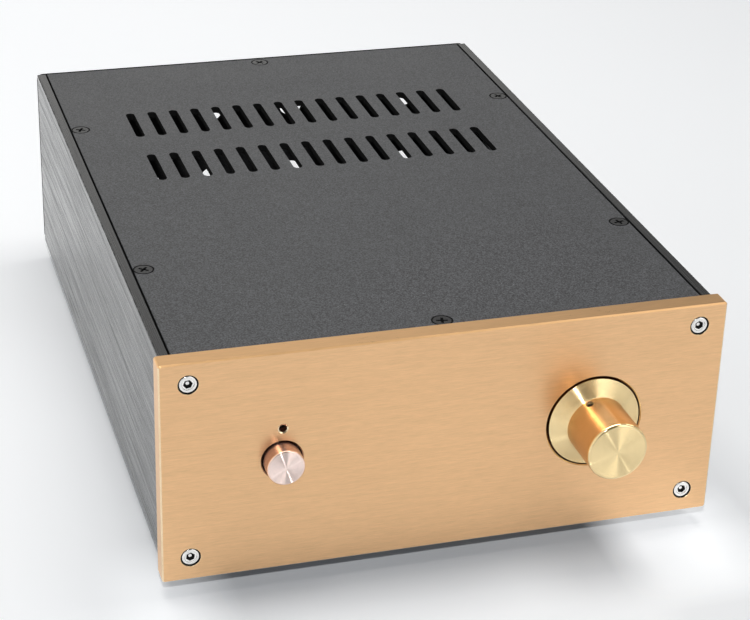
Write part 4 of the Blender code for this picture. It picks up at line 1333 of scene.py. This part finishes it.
@dataclass
class RearPanel:
    """The rear plate with its round socket holes and the mains inlet's cut-out."""

    corner_radius: float = 3.0 * MM
    edge: float = 0.3 * MM
    lip: float = 0.2 * MM
    socket_radius: float = 5.8 * MM
    socket_columns: tuple[float, float, float] = (23.3 * MM, -17.5 * MM, -77.0 * MM)
    socket_heights: tuple[float, float] = (35.85 * MM, 71.95 * MM)
    inlet_centre: Point = (72.0 * MM, 37.15 * MM)
    inlet_size: Point = (27.5 * MM, 20.0 * MM)
    inlet_corner: float = 0.8 * MM
    inlet_screw_reach: float = 20.0 * MM
    inlet_screw_radius: float = 1.7 * MM
    screw_bore: float = 2.3 * MM
    sink_radius: float = 4.05 * MM
    small_bore: float = 1.8 * MM
    small_sink_radius: float = 3.15 * MM

    def mesh(self) -> Mesh:
        """The panel in its own axes, with +Z backwards and x as seen from behind.

        Returns:
            The panel's mesh.
        """
        low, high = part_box("rear_panel")
        thickness = high.y - low.y
        through = thickness + ABOVE
        middle = (0.0, (low.z + high.z) / 2)
        outline = rectangle(high.x - low.x, high.z - low.z, middle, self.corner_radius, 8)
        cutter = bmesh.new()
        socket = self.socket_radius
        for x in self.socket_columns:
            for height in self.socket_heights:
                drill(cutter, ((socket, -self.lip),), flared(socket + self.lip), through, 64, (x, height))
        prism(cutter, rectangle(*self.inlet_size, self.inlet_centre, self.inlet_corner, 6), -through, ABOVE)
        inlet_x, inlet_z = self.inlet_centre
        small = self.inlet_screw_radius
        holes = [(small, small + self.lip, inlet_x + reach, inlet_z)
                 for reach in (-self.inlet_screw_reach, self.inlet_screw_reach)]
        for index in range(1, 5):
            screw = centre_of(f"rear_panel_screw_{index}")
            holes.append((self.screw_bore, self.sink_radius, -screw.x, screw.z))
        for label in ("bottom", "top"):
            height = centre_of(f"bracket_screw_rear_{label}").z
            holes.append((self.small_bore, self.small_sink_radius, 0.0, height))
        for bore, rim, x, height in holes:
            drill(cutter, ((bore, bore - rim),), flared(rim), through, 40, (x, height))
        return cut(mesh_from(plate(outline, thickness, self.edge), "rear_panel"), cutter)

    def dress(self, dresser: Dresser) -> None:
        """Builds the panel and puts it in place.

        Args:
            dresser: What puts the pieces into the scene.
        """
        mesh = self.mesh()
        turn = Matrix.Rotation(math.pi, 4, "Z") @ Matrix.Rotation(QUARTER, 4, "X")
        mesh.transform(at(0.0, Facing.REAR.side_of("rear_panel").y) @ turn)
        # The walls of the holes and the cut sides carry painted shade.
        dresser.place(mesh, (REAR_BLASTED, RECESS_SHADE), Vector(), Facing.UP, "chassis", "rear_panel",
                      "black_blasted", lambda polygon: int(abs(polygon.normal.y) < WALL))


@dataclass
class VolumeKnob:
    """The turned knob: a round grip on a shallow cone that fills the panel's pocket."""

    grip: float = 12.0 * MM
    edge: float = 1.2 * MM
    reach: float = 24.5 * MM
    skirt: float = 18.6 * MM
    skirt_rise: float = 3.0 * MM
    skirt_edge: float = 0.3 * MM
    skirt_depth: float = 2.5 * MM
    root: float = 0.25 * MM
    root_height: float = 0.2 * MM
    cavity: float = 8.8 * MM
    cavity_top: float = 1.6 * MM
    bore: float = 3.3 * MM
    bore_end: float = 15.6 * MM
    grub_angle: float = math.radians(113)
    grub_height: float = 5.2 * MM
    grub_radius: float = 1.5 * MM
    grub_sink: float = 0.15 * MM
    grub_flare: float = 1.2 * MM
    segments: int = 160

    def mesh(self) -> Mesh:
        """The knob in its own axes, with +Z forwards from the panel's face.

        Returns:
            The knob's mesh.
        """
        flat = self.grip - self.edge
        inside = [(0.0, self.bore_end), (self.bore, self.bore_end), (self.bore, self.cavity_top),
                  (self.cavity, self.cavity_top), (self.cavity, -self.skirt_depth),
                  (self.skirt, -self.skirt_depth), (self.skirt, -self.skirt_edge)]
        cone = [(self.skirt + (self.grip - self.skirt) * share, self.skirt_rise * share)
                for share in (0.02, 0.25, 0.5, 0.75, 0.97)]
        root = arc(self.root, 1.25 * math.pi, math.pi, 3,
                   (self.grip + self.root, self.skirt_rise + self.root_height))
        rounding = arc(self.edge, 0.0, QUARTER, 10, (flat, self.reach - self.edge))
        face = [(share * flat, self.reach) for share in (0.75, 0.5, 0.25, 0.0)]
        body = turned(bmesh.new(), inside + cone + root + rounding + face, self.segments)
        place = (at(0.0, 0.0, self.grub_height) @ Matrix.Rotation(self.grub_angle, 4, "Z")
                 @ Matrix.Rotation(QUARTER, 4, "Y"))
        near, mouth = self.bore - 1.0 * MM, self.grip - self.grub_sink
        end = mouth + self.grub_flare
        hole = [(0.0, near), (self.grub_radius, near), (self.grub_radius, mouth),
                (self.grub_radius + self.grub_flare, end), (0.0, end)]
        return cut(mesh_from(body, "volume_knob"), turned(bmesh.new(), hole, 40, place))

    def zone(self, polygon: Polygon) -> int:
        """Tells the turned faces, the polished roundings and the grub screw's hole apart.

        Args:
            polygon: A face of the knob, in its own axes.

        Returns:
            0 on the turned faces, 1 on the roundings, 2 in the hole and 3 on the grip's wall; 2 and 3 carry
            painted shade.
        """
        middle = polygon.center
        radius = math.hypot(middle.x, middle.y)
        along = (polygon.normal.x * middle.x + polygon.normal.y * middle.y) / max(radius, MM)
        rounding = middle.z > self.reach - self.edge and radius > self.grip - self.edge
        if rounding or radius > self.skirt * 0.985:
            return 1
        hole = Vector((math.cos(self.grub_angle), math.sin(self.grub_angle)))
        aside = middle.xy - hole * middle.xy.dot(hole)
        reach = math.hypot(aside.length, middle.z - self.grub_height)
        if middle.xy.dot(hole) > self.cavity and reach < self.grub_radius + 0.2 * MM and abs(along) < 0.9:
            return 2
        return 3 if along > 0.9 and radius > self.grip * 0.98 else 0

    def dress(self, dresser: Dresser) -> None:
        """Builds the knob on the frame's axis.

        Args:
            dresser: What puts the pieces into the scene.
        """
        finishes = (GOLD_TURNED, GOLD_POLISHED, PANEL_RECESS_SHADE, GOLD_SHADED_GRIP)
        dresser.place(self.mesh(), finishes, on_panel("volume_knob"), Facing.FRONT, "knob", "volume_knob",
                      "gold_turned", self.zone)


@dataclass
class PowerButton:
    """The turned cap of the power switch."""

    radius: float = 7.25 * MM
    edge: float = 0.7 * MM
    reach: float = 6.3 * MM
    flange: float = 9.2 * MM
    flange_face: float = -7.6 * MM
    flange_back: float = -9.1 * MM
    bore: float = 2.0 * MM
    bore_end: float = -3.1 * MM
    segments: int = 128

    def mesh(self) -> Mesh:
        """The cap in its own axes, with +Z forwards from the panel's face.

        Returns:
            The cap's mesh.
        """
        flat = self.radius - self.edge
        inside = [(0.0, self.bore_end), (self.bore, self.bore_end), (self.bore, self.flange_back),
                  (self.flange, self.flange_back), (self.flange, self.flange_face),
                  (self.radius, self.flange_face)]
        rounding = arc(self.edge, 0.0, QUARTER, 8, (flat, self.reach - self.edge))
        face = [(share * flat, self.reach) for share in (0.66, 0.33, 0.0)]
        return mesh_from(turned(bmesh.new(), inside + rounding + face, self.segments), "power_button")

    def zone(self, polygon: Polygon) -> int:
        """Tells the polished rounding and the side from the turned faces.

        Args:
            polygon: A face of the cap, in its own axes.

        Returns:
            1 on the rounding, 2 on the side, which carries painted shade, and 0 elsewhere.
        """
        middle = polygon.center
        if middle.z > self.reach - self.edge and math.hypot(middle.x, middle.y) > self.radius - self.edge:
            return 1
        return 2 if abs(polygon.normal.z) < WALL else 0

    def dress(self, dresser: Dresser) -> None:
        """Builds the cap on the frame's axis.

        Args:
            dresser: What puts the pieces into the scene.
        """
        dresser.place(self.mesh(), (ROSE_TURNED, ROSE_POLISHED, ROSE_SHADED_GRIP), on_panel("power_button"),
                      Facing.FRONT, "button", "power_button", "rose_turned", self.zone)


@dataclass
class Feet:
    """Four turned feet with a rubber ring let into each."""

    radius: float = 15.0 * MM
    waist: float = 13.2 * MM
    taper_top: float = 5.6 * MM
    rim_height: float = 1.0 * MM
    rim_bevel: float = 0.3 * MM
    ring_height: float = 1.2 * MM
    ring: float = 0.25 * MM
    groove_radius: float = 12.0 * MM
    groove_top: float = 4.0 * MM
    counterbore: float = 4.2 * MM
    screw_seat: float = 5.0 * MM
    bore: float = 2.3 * MM
    top: float = 9.7 * MM
    edge: float = 0.6 * MM
    pad_inner: float = 5.6 * MM
    pad_outer: float = 11.7 * MM
    pad_top: float = 3.7 * MM
    pad_round: float = 0.5 * MM

    def shell(self) -> Mesh:
        """A foot's turned shell, with a cut ring round its middle.

        Returns:
            The shell's mesh.
        """
        crown = arc(self.edge, QUARTER, 0.0, 4, (self.radius - self.edge, self.top - self.edge))
        line = self.taper_top + self.ring_height
        outside = [(self.radius, line + self.ring), (self.radius - self.ring, line),
                   (self.radius, line - self.ring), (self.radius, self.taper_top),
                   (self.waist, self.rim_height + self.rim_bevel),
                   (self.waist - self.rim_bevel, self.rim_height)]
        inside = [(self.groove_radius, self.rim_height), (self.groove_radius, self.groove_top),
                  (self.counterbore, self.groove_top), (self.counterbore, self.screw_seat),
                  (self.bore, self.screw_seat)]
        profile = [(self.bore, self.top)] + crown + outside + inside
        return mesh_from(turned(bmesh.new(), profile, 72, ring=True), "foot")

    def pad(self) -> Mesh:
        """A foot's rubber ring, rounded where it meets the floor.

        Returns:
            The ring's mesh.
        """
        soft = self.pad_round
        outer = arc(soft, 0.0, -QUARTER, 4, (self.pad_outer - soft, soft))
        inner = arc(soft, -QUARTER, -math.pi, 4, (self.pad_inner + soft, soft))
        profile = [(self.pad_inner, self.pad_top), (self.pad_outer, self.pad_top)] + outer + inner
        return mesh_from(turned(bmesh.new(), profile, 64, ring=True), "foot_pad")

    def dress(self, dresser: Dresser) -> None:
        """Builds the four feet and their pads.

        Args:
            dresser: What puts the pieces into the scene.
        """
        for index in range(1, 5):
            middle = centre_of(f"foot_{index}")
            ground = Vector((middle.x, middle.y, 0.0))
            for mesh, finish, name, slot in ((self.shell(), FOOT_TURNED, "foot", "foot_aluminium"),
                                             (self.pad(), RUBBER, "foot_pad", "black_rubber")):
                dresser.place(mesh, (finish,), ground, Facing.UP, "chassis", f"{name}_{index}", slot)


class CarriedPieces:
    """The frame's own nodes whose shapes are kept, painted in their finishes."""

    finishes: ClassVar[dict[Finish, tuple[str, ...]]] = {
        BLACK_BRUSHED: ("side_panel_left", "side_panel_right"),
        MILL: ("bracket_front_bottom", "bracket_front_top", "bracket_rear_bottom", "bracket_rear_top"),
        ZINC: ("bracket_screw_front_bottom", "bracket_screw_front_top", "potentiometer", "switch_bracket",
               "switch_bracket_screw_1", "switch_bracket_screw_2", "potentiometer_shaft",
               "potentiometer_washer", "potentiometer_nut"),
        BLACK_STEEL: ("knob_grub_screw",),
        PLASTIC: ("switch_plunger", "power_switch", "led_holder"),
        LENS: ("led",),
    }

    def dress(self, dresser: Dresser) -> None:
        """Paints the sides, the brackets and the pieces inside the case.

        Args:
            dresser: What paints the nodes.
        """
        for finish, nodes in self.finishes.items():
            for node in nodes:
                dresser.paint(node, finish)


@dataclass(frozen=True)
class Surrounding:
    """A patch of the room that polished metal sees, by bearing and elevation in degrees.

    The bearing is 0 in front of the panel and grows to the right.
    """

    left: float
    right: float
    bottom: float
    top: float
    level: float
    soft: float = 5.0

    def blend(self, graph: Graph, bearing: Value, rise: Value, behind: Value) -> Socket:
        """Lays the patch over what is already there.

        Args:
            graph: The world's graph.
            bearing: The direction's bearing.
            rise: The direction's elevation.
            behind: The brightness so far.

        Returns:
            The brightness with the patch.
        """
        sides, heights = (
            graph.window(value, (start - self.soft, start + self.soft), (end + self.soft, end - self.soft))
            for value, start, end in ((bearing, self.left, self.right), (rise, self.bottom, self.top)))
        step = graph.math("SUBTRACT", self.level, behind)
        return graph.times_plus(step, graph.times(sides, heights), behind)


@dataclass(frozen=True)
class Lamp:
    """A rectangular lamp: where it hangs, what it points at, its size, watts and colour."""

    name: str
    place: Place
    target: Place
    size: Point
    watts: float
    colour: Colour

    def hang(self) -> None:
        """Puts the lamp into the scene."""
        data = bpy.data.lights.new(self.name, "AREA")
        data.shape = "RECTANGLE"
        data.size, data.size_y = self.size
        data.energy = self.watts
        data.color = self.colour
        lamp = bpy.data.objects.new(self.name, data)
        lamp.location = self.place
        aim = Vector(self.target) - Vector(self.place)
        lamp.rotation_euler = aim.to_track_quat("-Z", "Y").to_euler()
        bpy.context.scene.collection.objects.link(lamp)


@dataclass
class Studio:
    """The pale floor, the room round it, the lights and the camera."""

    camera_place: Place = (-0.230563, -0.784339, 0.449335)
    camera_turn: Place = (63.36376, -1.54883, -16.52225)
    lens: float = 99.743
    sensor_width: float = 36.0
    near_clip: float = 10.0 * MM
    floor_size: float = 6.0
    floor_drop: float = 0.2 * MM
    floor_colour: Colour = (0.88, 0.885, 0.895)
    painted_light_colour: Colour = (0.98, 0.99, 1.0)
    sky: float = 0.14
    sky_colour: Colour = (0.88, 0.955, 1.06)
    room_colour: Colour = (1.0, 0.992, 0.965)
    room: tuple[Surrounding, ...] = (
        Surrounding(95.0, 200.0, 26.0, 66.0, 0.40, 6.0),
        Surrounding(-200.0, -95.0, 26.0, 66.0, 0.45, 6.0),
        Surrounding(46.0, 95.0, -10.0, 95.0, 0.65),
        Surrounding(95.0, 157.0, 10.0, 66.0, 0.18, 8.0),
        Surrounding(-30.0, 36.0, 36.0, 72.0, 0.16),
        Surrounding(-30.0, 18.0, 3.0, 38.0, 0.20),
        Surrounding(23.0, 44.0, 4.0, 45.0, 2.0),
        Surrounding(36.0, 60.0, 42.0, 68.0, 1.20),
    )
    lamps: tuple[Lamp, ...] = (
        Lamp("overhead softbox", (0.05, 0.08, 1.30), (0.05, 0.08, 0.0), (1.1, 0.56), 9.9,
             (1.0, 0.985, 0.955)),
        Lamp("camera lamp", (-0.26, -0.85, 0.73), (0.0, -0.10, 0.03), (0.03, 0.03), 4.0, (0.97, 0.985, 1.0)),
        Lamp("right softbox", (1.05, 0.0, 0.85), (0.0, -0.05, 0.05), (0.5, 0.5), 1.5, (0.98, 0.99, 1.0)),
    )

    def camera(self) -> None:
        """Sets the camera at the photograph's place and angle."""
        data = bpy.data.cameras.new("camera")
        data.lens = self.lens
        data.sensor_width = self.sensor_width
        data.clip_start = self.near_clip
        camera = bpy.data.objects.new("camera", data)
        camera.location = self.camera_place
        camera.rotation_euler = tuple(math.radians(angle) for angle in self.camera_turn)
        bpy.context.scene.collection.objects.link(camera)
        bpy.context.scene.camera = camera

    def floor_material(self) -> Material:
        """A pale sheet, soft to the eye and a little polished to the metal over it, with painted light added
        as an emission.

        Returns:
            The material.
        """
        material = bpy.data.materials.new("pale floor")
        material.use_nodes = True
        graph = Graph(material.node_tree)
        place = graph.add("TexCoord").outputs["Object"]
        cloud = graph.remap(graph.noise(place, 3.0, 3.0, 0.5), *MIDDLE_NOISE, 0.985)
        tone = graph.toned(self.floor_colour, cloud)
        soft = material.node_tree.nodes["Principled BSDF"]
        polished = graph.add("BsdfPrincipled")
        for sheet, gloss, specular in ((soft, 0.55, 0.15), (polished, 0.12, 0.5)):
            graph.feed(sheet.inputs["Base Color"], tone)
            sheet.inputs["Roughness"].default_value = gloss
            sheet.inputs["Specular IOR Level"].default_value = specular
        seen, mirrored, glossy = graph.rays()
        both = graph.add("MixShader", {0: glossy, 1: soft.outputs[0], 2: polished.outputs[0]})
        # Painted light: an emission that the camera and the metal see, which brightens the floor round the
        # chassis's shadows.
        painted_light_strength = graph.times(graph.math("MAXIMUM", seen, mirrored), self.painted_floor_light(graph, place))
        pale = graph.add("Emission", {"Color": rgba(self.painted_light_colour), "Strength": painted_light_strength})
        whole = graph.add("AddShader", {0: both.outputs[0], 1: pale.outputs[0]})
        graph.feed(material.node_tree.nodes["Material Output"].inputs["Surface"], whole.outputs[0])
        return material

    @staticmethod
    def painted_floor_light(graph: Graph, place: Value) -> Socket:
        """The painted light on the floor: more at the rear and at the panel's ends, none in the shade that
        the panel casts.

        Args:
            graph: The floor's graph.
            place: The point on the floor.

        Returns:
            The strength of the painted light.
        """
        x, y, _ = graph.split(place)
        slope = graph.times_plus(y, 0.37, graph.times_plus(x, -0.25, 0.18))
        beside = graph.window(x, (-0.100, -0.120), (-0.185, -0.135))
        beside = graph.times(beside, graph.remap(y, 0.11, 0.0, 0.0, 0.07))
        left = graph.math("ADD", graph.remap(x, -0.08, -0.13, 0.0, 0.02), beside)
        front = graph.remap(y, 0.05, -0.12, 0.0, 0.05)
        inward = graph.window(x, (-0.108, -0.077), (0.080, 0.063))
        shade = graph.math("SUBTRACT", 1.0, graph.times(inward, graph.remap(y, -0.105, -0.140)))
        painted_light_strength = graph.times(graph.math("SUBTRACT", graph.math("ADD", slope, left), front), shade)
        far = graph.times(inward, graph.remap(y, -0.148, -0.168, 0.0, 0.09))
        right_end = graph.window(x, (0.062, 0.080), (0.132, 0.105))
        left_end = graph.window(x, (-0.082, -0.100), (-0.135, -0.112))
        ends = graph.times_plus(right_end, 0.42, graph.times(left_end, 0.20))
        near = graph.window(y, (-0.100, -0.130), (-0.198, -0.152))
        whole = graph.math("ADD", graph.times_plus(ends, near, painted_light_strength), far)
        return graph.remap(whole, 0.0, 0.50, 0.0, 0.50)

    def floor(self) -> None:
        """Lays the floor, a hair under the feet."""
        shape = bmesh.new()
        bmesh.ops.create_grid(shape, x_segments=8, y_segments=8, size=self.floor_size / 2)
        mesh = mesh_from(shape, "floor")
        mesh.materials.append(self.floor_material())
        floor = bpy.data.objects.new("floor", mesh)
        floor.location = (0.0, 0.0, -self.floor_drop)
        bpy.context.scene.collection.objects.link(floor)

    def world(self) -> None:
        """Sets a pale world: white to the camera, and to polished metal a room with a few darker parts."""
        world = bpy.data.worlds.new("studio")
        world.use_nodes = True
        bpy.context.scene.world = world
        graph = Graph(world.node_tree)
        right, back, up = graph.split(graph.add("TexCoord").outputs["Generated"])
        bearing = graph.math("DEGREES", graph.math("ARCTAN2", right, graph.times(back, -1.0)))
        rise = graph.math("DEGREES", graph.math("ARCSINE", up))
        level: Value = 1.0
        for patch in self.room:
            level = patch.blend(graph, bearing, rise, level)
        seen, mirrored, _ = graph.rays()
        strength = graph.times_plus(graph.math("SUBTRACT", level, self.sky), mirrored, self.sky)
        strength = graph.times_plus(graph.math("SUBTRACT", 1.0, strength), seen, strength)
        direct = graph.math("MAXIMUM", seen, mirrored)
        background = world.node_tree.nodes["Background"].inputs
        graph.feed(background["Color"], graph.mix(direct, rgba(self.sky_colour), rgba(self.room_colour)))
        graph.feed(background["Strength"], strength)

    def build(self) -> None:
        """Sets up the whole studio."""
        self.camera()
        self.floor()
        self.world()
        for lamp in self.lamps:
            lamp.hang()
        bpy.context.scene.view_settings.view_transform = "Standard"


def main() -> None:
    """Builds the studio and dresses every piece."""
    logging.basicConfig(level=logging.INFO, format="%(message)s")
    Studio().build()
    dresser = Dresser()
    for part in (FrontPanel(), VentedPlate("top_cover", Facing.UP, "cover_screw"),
                 VentedPlate("bottom_plate", Facing.DOWN, "bottom_screw", feet=4), RearPanel(), VolumeKnob(),
                 PowerButton(), Feet(), Fasteners(), CarriedPieces()):
        part.dress(dresser)


if __name__ == "__main__":
    main()
